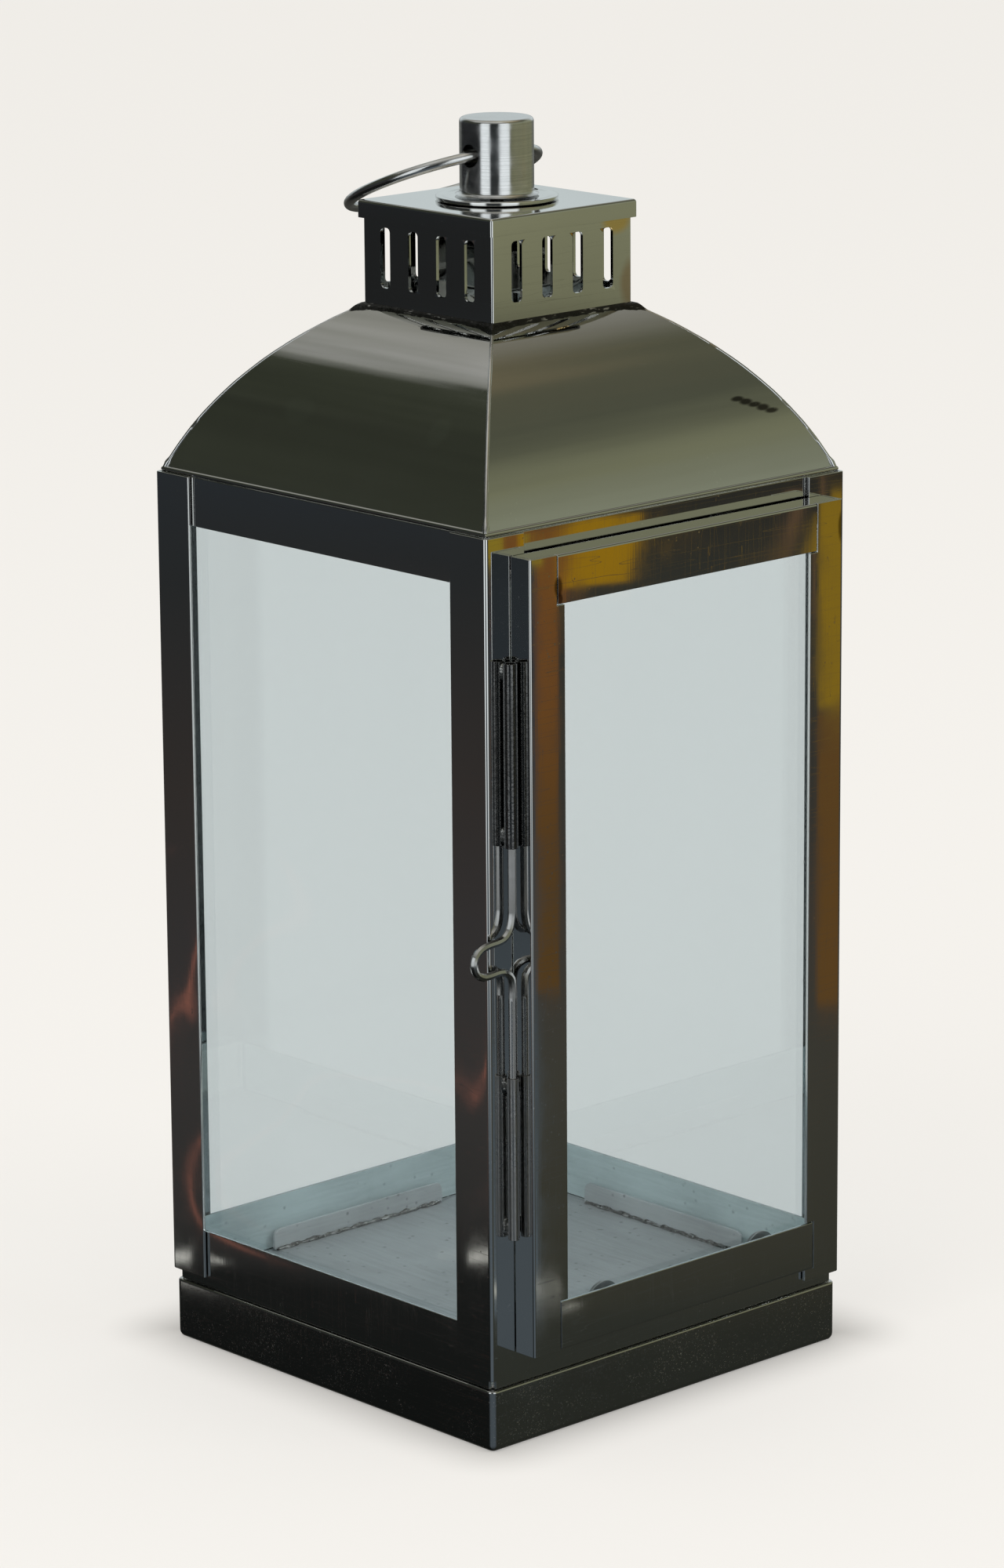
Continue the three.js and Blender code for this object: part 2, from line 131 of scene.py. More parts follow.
def dress(piece, material):
    """Puts one material on a whole piece."""
    piece.data.materials.clear()
    piece.data.materials.append(material)


def add_node(tree, kind, inputs=None, **settings):
    """Adds one shader node. An input is a value, or the socket that it comes from."""
    made = tree.nodes.new("ShaderNode" + kind)
    for key, value in settings.items():
        setattr(made, key, value)
    for key, value in (inputs or {}).items():
        if isinstance(value, bpy.types.NodeSocket):
            tree.links.new(value, made.inputs[key])
        else:
            made.inputs[key].default_value = value
    return made


def calc(tree, operation, *values):
    """One step of arithmetic in a material."""
    return add_node(tree, "Math", dict(enumerate(values)), operation=operation).outputs[0]


def soft_step(tree, value, low, high, first=0.0, last=1.0):
    """Goes softly from one number to another as a value goes from low to high."""
    inputs = {"Value": value, "From Min": low, "From Max": high, "To Min": first, "To Max": last}
    return add_node(tree, "MapRange", inputs, interpolation_type="SMOOTHSTEP").outputs[0]


def mix_colour(tree, factor, first, second):
    """Goes from one colour to another."""
    made = add_node(tree, "Mix", {0: factor, 6: first, 7: second}, data_type="RGBA")
    return made.outputs[2]


def mapped(tree, place, scale=(1, 1, 1), turn=(0, 0, 0), shift=(0, 0, 0)):
    """Coordinates stretched, turned and shifted."""
    inputs = {"Vector": place, "Scale": scale, "Rotation": turn, "Location": shift}
    return add_node(tree, "Mapping", inputs).outputs[0]


def noise(tree, place, scale, detail=2.0, roughness=0.5):
    """Soft random patches, so many to the metre."""
    inputs = {"Vector": place, "Scale": scale, "Detail": detail, "Roughness": roughness}
    return add_node(tree, "TexNoise", inputs).outputs[0]


def shares(tree, *parts):
    """The sum of several values, each times its own share."""
    products = [calc(tree, "MULTIPLY", value, share) for value, share in parts]
    total = products[0]
    for product in products[1:]:
        total = calc(tree, "ADD", total, product)
    return total


def grey(value, tint=(1, 1, 1)):
    """A grey, a little warmer or cooler by its tint."""
    return (value * tint[0], value * tint[1], value * tint[2], 1)


def new_material(name):
    """An empty material, with its node tree, its main shader and Object coordinates."""
    material = bpy.data.materials.new(name)
    material.use_nodes = True
    tree = material.node_tree
    place = add_node(tree, "TexCoord").outputs["Object"]
    return material, tree, tree.nodes["Principled BSDF"], place


def dented(tree, shader, height, strength=1.0):
    """Gives a surface its small ups and downs, in metres."""
    bump = add_node(tree, "Bump", {"Strength": strength, "Distance": 1.0, "Height": height})
    tree.links.new(bump.outputs[0], shader.inputs["Normal"])


def metal_finish(tree, shader, colour, roughness, height, metal=1.0):
    """Gives a metal its colour, its roughness and its small ups and downs."""
    tree.links.new(colour, shader.inputs["Base Color"])
    tree.links.new(roughness, shader.inputs["Roughness"])
    dented(tree, shader, height)
    shader.inputs["Metallic"].default_value = metal


def worked_copy(node, name):
    """A copy of a node's loose triangles, welded, with its flat faces made whole again."""
    only(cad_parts[node])
    bpy.ops.object.duplicate()
    piece = bpy.context.object
    piece.name = name
    for key in list(piece.keys()):
        del piece[key]
    piece.parent = None
    edit(piece)
    bpy.ops.mesh.select_all(action="SELECT")
    bpy.ops.mesh.remove_doubles(threshold=WELD)
    bpy.ops.mesh.dissolve_limited(angle_limit=math.radians(0.5))
    bpy.ops.mesh.select_all(action="DESELECT")
    return piece


def soften(width, segments=2, degrees=50, test=None):
    """In edit mode, rounds the sharp edges that pass a test."""
    found = pick("EDGE", lambda e: is_sharp(e, degrees) and (test is None or test(*edge_line(e))))
    if found:
        bpy.ops.mesh.bevel(offset=width, segments=segments, affect="EDGES", clamp_overlap=True)


def hairlines(tree, place, scale, turn, width):
    """Long thin scratches that lie one way."""
    stretched = mapped(tree, place, scale=scale, turn=turn)
    field = noise(tree, stretched, 1.0, 1.0)
    off = calc(tree, "ABSOLUTE", calc(tree, "SUBTRACT", field, 0.5))
    return soft_step(tree, off, 0.0, width, 1.0, 0.0)


def polished_sheet(name, shade=0.72, rough=0.022, wave=30e-6, specks=0.0, grit=0.0, tints=()):
    """Mirror-polished stainless sheet: slightly wavy, smudged, with rub marks, hairline
    scratches and dried specks. A wave is the height of the waves, in metres, and a tint is
    (middle, reach, colour, strength): a ragged patch of another colour, such as soot, a smear
    or the gold and brown painted on the vent box."""
    material, tree, shader, place = new_material(name)
    cloud = noise(tree, place, 17.0, 4.0)
    dark = grey(shade * 0.95, (1, 1, 0.98))
    light = grey(shade * 1.04, (1, 1, 0.99))
    colour = mix_colour(tree, cloud, dark, light)
    for at, reach, stain, strength in tints:
        offset = add_node(tree, "VectorMath", {0: place, 1: at}, operation="SUBTRACT")
        shrink = {0: offset.outputs[0], 1: tuple(1 / r for r in reach)}
        scaled = add_node(tree, "VectorMath", shrink, operation="MULTIPLY")
        far = add_node(tree, "VectorMath", {0: scaled.outputs[0]}, operation="LENGTH").outputs[1]
        ragged = calc(tree, "ADD", far, calc(tree, "MULTIPLY", noise(tree, place, 90.0, 3.0), 0.5))
        mask = soft_step(tree, ragged, 0.75, 1.35, strength, 0.0)
        colour = mix_colour(tree, mask, colour, (*stain, 1))
    smudge = noise(tree, place, 46.0, 5.0, 0.6)
    roughness = soft_step(tree, smudge, 0.42, 0.72, rough, rough + 0.03)
    scratch = calc(
        tree, "MAXIMUM",
        hairlines(tree, place, (14, 14, 420), (0.2, 0.35, 0.1), 0.002),
        hairlines(tree, place, (380, 380, 12), (0.15, 0.1, 0.3), 0.0012),
    )
    roughness = calc(tree, "ADD", roughness, calc(tree, "MULTIPLY", scratch, 0.06))
    cells = add_node(tree, "TexVoronoi", {"Vector": place, "Scale": 420.0}).outputs["Distance"]
    where = soft_step(tree, noise(tree, place, 30.0, 3.0), 0.5, 0.62)
    dots = calc(tree, "MULTIPLY", soft_step(tree, cells, 0.05, 0.16, 1.0, 0.0), where)
    dots = calc(tree, "MULTIPLY", dots, 0.25 + specks)
    colour = mix_colour(tree, dots, colour, (0.9, 0.9, 0.88, 1))
    grains = soft_step(tree, noise(tree, place, 1900.0, 2.0), 0.6, 0.68, 0.0, grit)
    dots = calc(tree, "MAXIMUM", dots, calc(tree, "MULTIPLY", grains, soft_step(tree, smudge, 0.3, 0.6)))
    roughness = calc(tree, "ADD", roughness, calc(tree, "MULTIPLY", dots, 0.35))
    swell = noise(tree, place, 19.0, 1.0)
    rub = noise(tree, mapped(tree, place, scale=(1300, 1300, 60)), 1.0, 2.0)
    height = shares(tree, (swell, wave), (rub, 0.35e-6), (scratch, -0.6e-6))
    metal_finish(tree, shader, colour, roughness, height)
    return material


foot = worked_copy("base_tray", "foot_tray")
pick("EDGE", lambda e: is_sharp(e) and edge_line(e)[1].z > foot_high.z - TOUCH)
bpy.ops.mesh.bevel(offset=FOOT_TOP_FOLD, segments=4, affect="EDGES")
# The folded-in rim's inner edge stays sharp, and only the outer bottom edge is rounded.
rim_inside = foot_high.x - CX - FOOT_RIM
pick(
    "EDGE",
    lambda e: is_sharp(e) and edge_line(e)[1].z < TOUCH and from_middle(e) > rim_inside + 1 * MM,
)
bpy.ops.mesh.bevel(offset=FOOT_BOTTOM_FOLD, segments=5, affect="EDGES")
done()
smooth(foot, 32)
dress(foot, polished_sheet("foot_steel", shade=0.55, rough=0.04, wave=40e-6, specks=0.6, grit=0.75))
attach(foot, "frame")
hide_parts("base_tray")

# ---------------------------------------------------------------------------------------
# The floor of the candle chamber. A flat square of mill-finish sheet laid in behind the
# bottom rails, dulled by wiping and by wax.
# ---------------------------------------------------------------------------------------


def dull_sheet(name, shade, rough, grain=(900, 60, 900), metal=0.9, tint=(0.98, 1, 1)):
    """Mill-finish sheet with a rolled grain, wipe marks and a few dark specks."""
    material, tree, shader, place = new_material(name)
    roll = noise(tree, mapped(tree, place, scale=grain), 1.0, 3.0)
    cloud = noise(tree, place, 26.0, 5.0, 0.6)
    mixed = shares(tree, (cloud, 0.7), (roll, 0.3))
    dark = grey(shade * 0.78, tint)
    light = grey(shade * 1.12, tint)
    colour = mix_colour(tree, soft_step(tree, mixed, 0.3, 0.7), dark, light)
    cells = add_node(tree, "TexVoronoi", {"Vector": place, "Scale": 260.0}).outputs["Distance"]
    dirt = calc(tree, "MULTIPLY", soft_step(tree, cells, 0.06, 0.2, 0.6, 0.0), cloud)
    colour = mix_colour(tree, dirt, colour, (0.09, 0.08, 0.07, 1))
    roughness = calc(tree, "ADD", soft_step(tree, cloud, 0.3, 0.7, rough, rough + 0.14), dirt)
    height = shares(tree, (roll, 2.5e-6), (cloud, 30e-6))
    metal_finish(tree, shader, colour, roughness, height, metal)
    return material


FLOOR_EDGE = 0.25 * MM
floor_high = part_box("floor_plate")[1]
chamber_floor = worked_copy("floor_plate", "chamber_floor")
soften(FLOOR_EDGE)
done()
smooth(chamber_floor)
dress(chamber_floor, dull_sheet("floor_steel", 0.36, 0.36, metal=0.4))
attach(chamber_floor, "frame")
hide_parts("floor_plate")

# ---------------------------------------------------------------------------------------
# Four corner posts. Each is a strip of polished sheet folded lengthways to a right angle,
# with a rounded outer corner. They are soldered to the rails, inside and out of sight.
# ---------------------------------------------------------------------------------------
POST_EDGE = 0.22 * MM
post_steel = polished_sheet("post_steel", specks=0.1)
posts = {"back_right": (1, 1), "back_left": (-1, 1), "front_left": (-1, -1), "front_right": (1, -1)}
for corner in posts:
    post = worked_copy("post_" + corner, "corner_post_" + corner)
    soften(POST_EDGE)
    done()
    smooth(post)
    dress(post, post_steel)
    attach(post, "frame")
    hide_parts("post_" + corner)

# ---------------------------------------------------------------------------------------
# The rails. A deep strip of polished sheet along the foot and another under the roof on
# every side, set one sheet back from the posts and soldered behind their flanges.
# ---------------------------------------------------------------------------------------
rail_steel = polished_sheet("rail_steel", specks=0.3, wave=36e-6)
inside_steel = dull_sheet(
    "rail_inside_steel", 0.88, 0.3, grain=(60, 60, 900), metal=0.0, tint=(1, 0.97, 0.9),
)
inward_of = {"back": (0, -1), "left": (1, 0), "front": (0, 1), "right": (-1, 0)}
for side in ("back", "left", "front", "right"):
    for level in ("bottom", "top"):
        rail = worked_copy(f"rail_{level}_{side}", f"rail_{level}_sheet_{side}")
        soften(POST_EDGE)
        done()
        smooth(rail)
        dress(rail, rail_steel)
        # Only the outside is polished. The inside keeps the mill's dull finish.
        rail.data.materials.append(inside_steel)
        rail.active_material_index = 1
        in_x, in_y = inward_of[side]
        edit(rail)
        pick("FACE", lambda f: f.normal.x * in_x + f.normal.y * in_y > 0.9)
        bpy.ops.object.material_slot_assign()
        done()
        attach(rail, "frame")
        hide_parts(f"rail_{level}_{side}")

# ---------------------------------------------------------------------------------------
# Three fixed panes of clear float glass with ground edges. They are cut to size and stand
# behind the posts and the rails.
# ---------------------------------------------------------------------------------------
GLASS_TINT = (0.803, 0.853, 0.873)
GLASS_EDGE = 0.3 * MM


def window_glass(name, tint):
    """Clear float glass that lets lamps through, with wipe marks and a little dust."""
    material, tree, shader, place = new_material(name)
    wiped = noise(tree, mapped(tree, place, scale=(1, 1, 0.35), turn=(0.5, 0.5, 0)), 22.0, 4.0)
    colour = mix_colour(tree, wiped, (*(c * 0.985 for c in tint), 1), (*tint, 1))
    tree.links.new(colour, shader.inputs["Base Color"])
    cells = add_node(tree, "TexVoronoi", {"Vector": place, "Scale": 300.0}).outputs["Distance"]
    dust = calc(tree, "MULTIPLY", soft_step(tree, cells, 0.02, 0.09, 1.0, 0.0), wiped)
    dented(tree, shader, shares(tree, (wiped, 12e-6), (dust, 8e-6)), 0.6)
    shader.inputs["Transmission Weight"].default_value = 1.0
    shader.inputs["Roughness"].default_value = 0.0
    shader.inputs["IOR"].default_value = 1.45
    clear = add_node(tree, "BsdfTransparent", {"Color": (*(c * 0.96 for c in tint), 1)})
    ray = add_node(tree, "LightPath").outputs
    passing = calc(tree, "MAXIMUM", ray["Is Shadow Ray"], ray["Is Diffuse Ray"])
    mixed = add_node(tree, "MixShader", {0: passing, 1: shader.outputs[0], 2: clear.outputs[0]})
    tree.links.new(mixed.outputs[0], tree.nodes["Material Output"].inputs["Surface"])
    return material


pane_glass = window_glass("pane_glass", GLASS_TINT)
for side in ("back", "left", "right"):
    pane = worked_copy("glass_" + side, "pane_" + side)
    soften(GLASS_EDGE)
    done()
    smooth(pane)
    dress(pane, pane_glass)
    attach(pane, "frame")
    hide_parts("glass_" + side)

# ---------------------------------------------------------------------------------------
# A retainer strip of mill-finish sheet holds the foot of each fixed pane. It is soldered
# to the floor, and the solder has run along its foot in a wavy line.
# ---------------------------------------------------------------------------------------
SOLDER_BRIGHT = (0.72, 0.72, 0.70, 1)
STRIP_EDGE = 0.18 * MM
BEAD_LENGTH = 66 * MM
BEAD_STEPS = 56
BEAD_IN = 0.55 * MM


def solder(name, scale, lightness, dark=0.17, rubbed=0.24):
    """Soft solder, filed and wire-brushed: dull grey, lumpy, with bright rubbed tops."""
    material, tree, shader, place = new_material(name)
    lump = noise(tree, place, scale, 4.0, 0.6)
    brushed = noise(tree, mapped(tree, place, scale=(260, 260, 1900), turn=(0.12, 0.12, 0)), 1.0, 2.0)
    bright = soft_step(tree, calc(tree, "MULTIPLY", lump, brushed), rubbed, rubbed + 0.1)
    bright = calc(tree, "MULTIPLY", bright, lightness * 2)
    colour = mix_colour(tree, bright, grey(dark, (1, 1, 0.97)), SOLDER_BRIGHT)
    roughness = soft_step(tree, lump, 0.3, 0.7, 0.22, 0.5)
    height = shares(tree, (lump, 0.35 * MM), (brushed, 0.05 * MM))
    metal_finish(tree, shader, colour, roughness, height)
    return material


def drawn_bead(name, points, radii):
    """A run of solder through points, each with its own radius, with closed ends."""
    curve = bpy.data.curves.new(name, "CURVE")
    curve.dimensions = "3D"
    curve.bevel_depth = 1.0
    curve.bevel_resolution = 1
    curve.use_fill_caps = True
    line = curve.splines.new("POLY")
    line.points.add(len(points) - 1)
    for slot, point, radius in zip(line.points, points, radii):
        slot.co = (*point, 1)
        slot.radius = radius
    piece = bpy.data.objects.new(name, curve)
    bpy.context.scene.collection.objects.link(piece)
    only(piece)
    bpy.ops.object.convert(target="MESH")
    edit(piece)
    bpy.ops.mesh.select_all(action="SELECT")
    bpy.ops.mesh.remove_doubles(threshold=WELD)
    bpy.ops.mesh.normals_make_consistent(inside=False)
    done()
    smooth(piece, 60)
    return piece


def wander(t, seed):
    """A smooth wandering number from -1 to 1, the same on every run."""
    slow = 0.5 * math.sin(7.3 * t + seed)
    middling = 0.3 * math.sin(17.1 * t + 2.1 * seed)
    quick = 0.2 * math.sin(41 * t + 3.7 * seed)
    return slow + middling + quick


strip_steel = dull_sheet("strip_steel", 0.5, 0.34, grain=(60, 60, 900), metal=0.5)
foot_solder = solder("strip_solder", 500.0, 0.25)
for index, side in enumerate(("back", "left", "right")):
    strip = worked_copy("glass_strip_" + side, "pane_strip_" + side)
    soften(STRIP_EDGE)
    done()
    smooth(strip)
    dress(strip, strip_steel)
    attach(strip, "frame")
    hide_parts("glass_strip_" + side)
    low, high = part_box("glass_strip_" + side)
    in_x, in_y = inward_of[side]
    # The bead lies along the strip's inner face, about half a sheet in from its middle.
    face = Vector(((low.x + high.x) / 2, (low.y + high.y) / 2, floor_high.z))
    face += Vector((in_x, in_y, 0)) * BEAD_IN
    points, radii = [], []
    for step in range(BEAD_STEPS + 1):
        t = step / BEAD_STEPS
        along = (t - 0.5) * BEAD_LENGTH
        lift = (0.35 + 0.3 * wander(9 * t, index)) * MM
        points.append(face + Vector((in_y, -in_x, 0)) * along + Vector((0, 0, lift)))
        radii.append((0.75 + 0.35 * wander(6 * t, index + 5)) * MM)
    bead = drawn_bead("strip_bead_" + side, points, radii)
    dress(bead, foot_solder)
    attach(bead, "frame")

# ---------------------------------------------------------------------------------------
# The door frame. Two stiles and two rails of polished sheet with their outer edges folded
# back. The rails lap into notches in the stiles and are soldered from behind.
# ---------------------------------------------------------------------------------------
DOOR_FOLD = 0.7 * MM
DOOR_EDGE = 0.16 * MM
SOOT = (0.06, 0.05, 0.05)
door_low, door_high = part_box("door_stile_left")
door_front = door_low.y
# Small burns from the soldering iron near the top corners: middle, reach, colour, strength.
burn = (
    ((CX - 50.4 * MM, door_front, door_high.z - 9 * MM), (1.6 * MM, 4 * MM, 3 * MM), SOOT, 0.8),
    ((CX - 49.9 * MM, door_front, door_high.z - 12.5 * MM), (1.2 * MM, 4 * MM, 2 * MM), SOOT, 0.8),
    ((CX + 60.5 * MM, door_front, door_high.z - 8 * MM), (1.5 * MM, 4 * MM, 5 * MM), SOOT, 0.7),
)


def outer_fold(outer_x):
    """Tests for the long folded edge of a stile, at the front of its outer side."""
    def test(along, at):
        return along.z > 0.9 and abs(at.x - outer_x) < TOUCH and abs(at.y - door_front) < TOUCH

    return test


door_steel = polished_sheet("door_steel", wave=34e-6, specks=0.15, tints=burn)
for side in ("left", "right"):
    node = "door_stile_" + side
    low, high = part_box(node)
    stile = worked_copy(node, "door_side_" + side)
    soften(DOOR_FOLD, 4, test=outer_fold(low.x if side == "left" else high.x))
    soften(DOOR_EDGE, 2, 60)
    done()
    smooth(stile)
    dress(stile, door_steel)
    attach(stile, "door")
    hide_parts(node)

for level, fold_z in (("bottom", door_low.z), ("top", door_high.z)):
    node = "door_rail_" + level
    crossbar = worked_copy(node, "door_crossbar_" + level)
    soften(
        DOOR_FOLD, 4,
        test=lambda along, at: along.x > 0.9
        and abs(at.z - fold_z) < TOUCH
        and abs(at.y - door_front) < TOUCH,
    )
    soften(DOOR_EDGE, 2, 60)
    done()
    smooth(crossbar)
    dress(crossbar, door_steel)
    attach(crossbar, "door")
    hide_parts(node)

# ---------------------------------------------------------------------------------------
# The door's pane of clear float glass with ground edges. Four round-ended tabs of
# mill-finish sheet, soldered to the door's two rails, press it forward against the frame.
# ---------------------------------------------------------------------------------------
door_pane = worked_copy("door_glass", "door_pane")
soften(GLASS_EDGE)
done()
smooth(door_pane)
dress(door_pane, window_glass("door_pane_glass", GLASS_TINT))
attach(door_pane, "door")
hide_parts("door_glass")

TAB_EDGE = 0.15 * MM
tab_steel = dull_sheet("tab_steel", 0.42, 0.25, grain=(900, 900, 60))
for place_name in ("bottom_left", "bottom_right", "top_left", "top_right"):
    tab = worked_copy("door_tab_" + place_name, "pane_tab_" + place_name)
    soften(TAB_EDGE)
    done()
    smooth(tab)
    dress(tab, tab_steel)
    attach(tab, "door")
    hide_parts("door_tab_" + place_name)

# ---------------------------------------------------------------------------------------
# Two barrel hinges. A leaf of dull sheet is curled round a wire pin: the outer knuckles
# are soldered to the post and the middle one to the side of the door.
# ---------------------------------------------------------------------------------------
LEAF_EDGE = 0.12 * MM
PIN_EDGE = 0.2 * MM
hinge_steel = dull_sheet("hinge_steel", 0.5, 0.24, grain=(60, 60, 900))
hinge_wire = dull_sheet("hinge_wire_steel", 0.66, 0.16, grain=(900, 900, 60))
for level in ("lower", "upper"):
    for owner, body in (("post", "frame"), ("door", "door")):
        leaf = worked_copy(f"hinge_{owner}_{level}", f"hinge_leaf_{owner}_{level}")
        soften(LEAF_EDGE, 2, 60)
        done()
        smooth(leaf)
        dress(leaf, hinge_steel)
        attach(leaf, body)
        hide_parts(f"hinge_{owner}_{level}")
    pin = worked_copy("hinge_pin_" + level, "hinge_rod_" + level)
    soften(PIN_EDGE, 2, 60)
    done()
    smooth(pin)
    dress(pin, hinge_wire)
    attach(pin, "frame")
    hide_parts("hinge_pin_" + level)

# ---------------------------------------------------------------------------------------
# The catch. One bright wire turns in two tubes soldered to the post, and is bent out into
# an ear between them, which hooks over the side of the door.
# ---------------------------------------------------------------------------------------


def bright_wire(name, shade=0.76, rough=0.09, along=(900, 900, 40), pits=0.0):
    """Bright drawn wire: fine die lines along it, worn dull patches, and pits of a depth."""
    material, tree, shader, place = new_material(name)
    lines = noise(tree, mapped(tree, place, scale=along), 1.0, 3.0)
    worn = noise(tree, place, 120.0, 4.0)
    dull = grey(shade * 0.8, (1, 0.99, 0.97))
    colour = mix_colour(tree, soft_step(tree, worn, 0.35, 0.7), grey(shade), dull)
    mixed = shares(tree, (worn, 0.7), (lines, 0.3))
    roughness = soft_step(tree, mixed, 0.35, 0.7, rough, rough + 0.16)
    pitted = noise(tree, place, 800.0, 2.0)
    height = shares(tree, (lines, 3e-6), (worn, 20e-6), (pitted, pits))
    metal_finish(tree, shader, colour, roughness, height)
    return material


catch_steel = bright_wire("catch_wire_steel", 0.55, 0.12)
tube_steels = {
    "upper": bright_wire("catch_tube_steel", 0.14, 0.14, pits=0.06 * MM),
    "lower": bright_wire("catch_rod_steel", 0.36, 0.24, pits=0.03 * MM),
}
catch = worked_copy("latch_wire", "catch_wire")
done()
smooth(catch, 40)
dress(catch, catch_steel)
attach(catch, "latch")
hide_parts("latch_wire")

TUBE_EDGE = 0.18 * MM
BLOB_LENGTH = 5 * MM
BLOB_STEPS = 12
BLOB_FROM_END = 3 * MM
BLOB_SUNK = 0.1 * MM
blob_solder = solder("catch_solder", 700.0, 0.7)
for index, level in enumerate(("upper", "lower")):
    low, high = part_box("latch_tube_" + level)
    tube = worked_copy("latch_tube_" + level, "catch_tube_" + level)
    soften(TUBE_EDGE, 2, 60)
    done()
    smooth(tube, 40)
    dress(tube, tube_steels[level])
    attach(tube, "frame")
    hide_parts("latch_tube_" + level)
    # A blob of solder near each end of the tube fixes it to the post behind it.
    behind = high.y - BLOB_SUNK
    for end, z in (("low", low.z + BLOB_FROM_END), ("high", high.z - BLOB_FROM_END)):
        points, radii = [], []
        for step in range(BLOB_STEPS + 1):
            t = step / BLOB_STEPS
            points.append(Vector(((low.x + high.x) / 2, behind, z + (t - 0.5) * BLOB_LENGTH)))
            radii.append((0.35 + 0.9 * math.sin(math.pi * t) ** 0.5 + 0.1 * wander(5 * t, index)) * MM)
        blob = drawn_bead(f"catch_blob_{level}_{end}", points, radii)
        dress(blob, blob_solder)
        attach(blob, "frame")

# ---------------------------------------------------------------------------------------
# The roof. Four panels of polished sheet rolled to one curve, mitred where they meet at
# the hips, with the foot of each turned out into a small rolled hem.
# ---------------------------------------------------------------------------------------
# The middle of the curve lies beyond the centre line, and this far up.
ARC_OUT = -20.76 * MM
ARC_UP = 228.24 * MM
ARC_RADIUS = 95.74 * MM
ROOF_STEPS = 44
HEM_RADIUS = 0.75 * MM
HEM_STEPS = 7
NECK_HALF = 27.6 * MM
ROOF_SHEET = 0.8 * MM
MITRE_GAP = 0.15 * MM
PANEL_WIDTH = 150 * MM
roof_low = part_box("roof_front")[0]


def roof_height(out):
    """The height of the roof's outside at a distance out from the centre line."""
    return ARC_UP + math.sqrt(ARC_RADIUS ** 2 - (out - ARC_OUT) ** 2)


def roof_profile():
    """Points (out, up) from the hem at the foot to the neck."""
    foot_angle = math.asin((roof_low.z + 2 * HEM_RADIUS - ARC_UP) / ARC_RADIUS)
    neck_angle = math.acos((NECK_HALF - ARC_OUT) / ARC_RADIUS)
    foot_out = ARC_OUT + ARC_RADIUS * math.cos(foot_angle)
    foot_up = ARC_UP + ARC_RADIUS * math.sin(foot_angle)
    hem = []
    for step in range(HEM_STEPS):
        turn = math.radians(-60 + 25 * step)
        out = foot_out + HEM_RADIUS * (0.2 + math.cos(turn))
        up = foot_up - HEM_RADIUS * (1 - math.sin(turn))
        hem.append((out, up))
    arc = []
    for step in range(ROOF_STEPS + 1):
        turn = foot_angle + (neck_angle - foot_angle) * step / ROOF_STEPS
        arc.append((ARC_OUT + ARC_RADIUS * math.cos(turn), ARC_UP + ARC_RADIUS * math.sin(turn)))
    return hem + arc


# The front panel starts as one straight edge at the hem, which is drawn out along the curve
# and then cut to the two mitres.
profile = roof_profile()
hem_out, hem_up = profile[0]
bpy.ops.object.select_all(action="DESELECT")
bpy.ops.mesh.primitive_plane_add(
    size=PANEL_WIDTH, location=(CX, CY - hem_out + PANEL_WIDTH / 2, hem_up),
)
panel = bpy.context.object
panel.name = "roof_panel_front"
bpy.ops.object.transform_apply(location=True, rotation=True, scale=True)
edit(panel)
pick("VERT", lambda v: v.co.y > CY - hem_out + PANEL_WIDTH / 2)
bpy.ops.mesh.delete(type="VERT")
pick("EDGE", lambda e: True)
for (out_a, up_a), (out_b, up_b) in zip(profile, profile[1:]):
    step = (0, out_a - out_b, up_b - up_a)
    bpy.ops.mesh.extrude_region_move(TRANSFORM_OT_translate={"value": step})
for across in (1, -1):
    bpy.ops.mesh.select_all(action="SELECT")
    bpy.ops.mesh.bisect(
        plane_co=(CX, CY - MITRE_GAP, 0), plane_no=(across, 1, 0),
        clear_outer=True, clear_inner=False,
    )
bpy.ops.mesh.select_all(action="SELECT")
bpy.ops.mesh.normals_make_consistent(inside=False)
# An open sheet has no outside of its own, so it is turned over if its top faces down.
if pick("FACE", lambda f: f.normal.z > 0.5) < pick("FACE", lambda f: f.normal.z < -0.5):
    bpy.ops.mesh.select_all(action="SELECT")
    bpy.ops.mesh.flip_normals()
done()
apply_modifier(panel, "SOLIDIFY", thickness=ROOF_SHEET, offset=-1.0, use_even_offset=True)
smooth(panel, 40)

# Two pale smears on the left panel, and a short row of dark marks on the front one.
SMEAR = (0.9, 0.93, 0.92)
roof_tints = [
    ((CX - 55 * MM, CY - 36 * MM, 286 * MM), (5 * MM, 5 * MM, 6 * MM), SMEAR, 0.35),
    ((CX - 56 * MM, CY + 22 * MM, 285 * MM), (5 * MM, 7 * MM, 5 * MM), SMEAR, 0.3),
]
for step in range(5):
    out = (55.9 + 0.75 * step) * MM
    at = (CX + (40.6 + 2.7 * step) * MM, CY - out, roof_height(out))
    roof_tints.append((at, (3.2 * MM, 1.5 * MM, (0.9 + 0.3 * (step % 2)) * MM), SOOT, 0.9))
roof_steel = polished_sheet("roof_steel", wave=60e-6, tints=roof_tints)
panels = {"front": panel}
for side, quarter in (("right", 1), ("back", 2), ("left", 3)):
    only(panel)
    bpy.ops.object.duplicate()
    turned = bpy.context.object
    turned.name = "roof_panel_" + side
    # The copy turns about the lantern's centre line.
    turned.rotation_euler.z = math.radians(90 * quarter)
    centre = Vector((CX, CY, 0))
    turned.location = centre - turned.rotation_euler.to_matrix() @ centre
    bpy.ops.object.transform_apply(location=True, rotation=True, scale=True)
    panels[side] = turned
for side, sheet_piece in panels.items():
    dress(sheet_piece, roof_steel)
    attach(sheet_piece, "frame")
    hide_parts("roof_" + side)

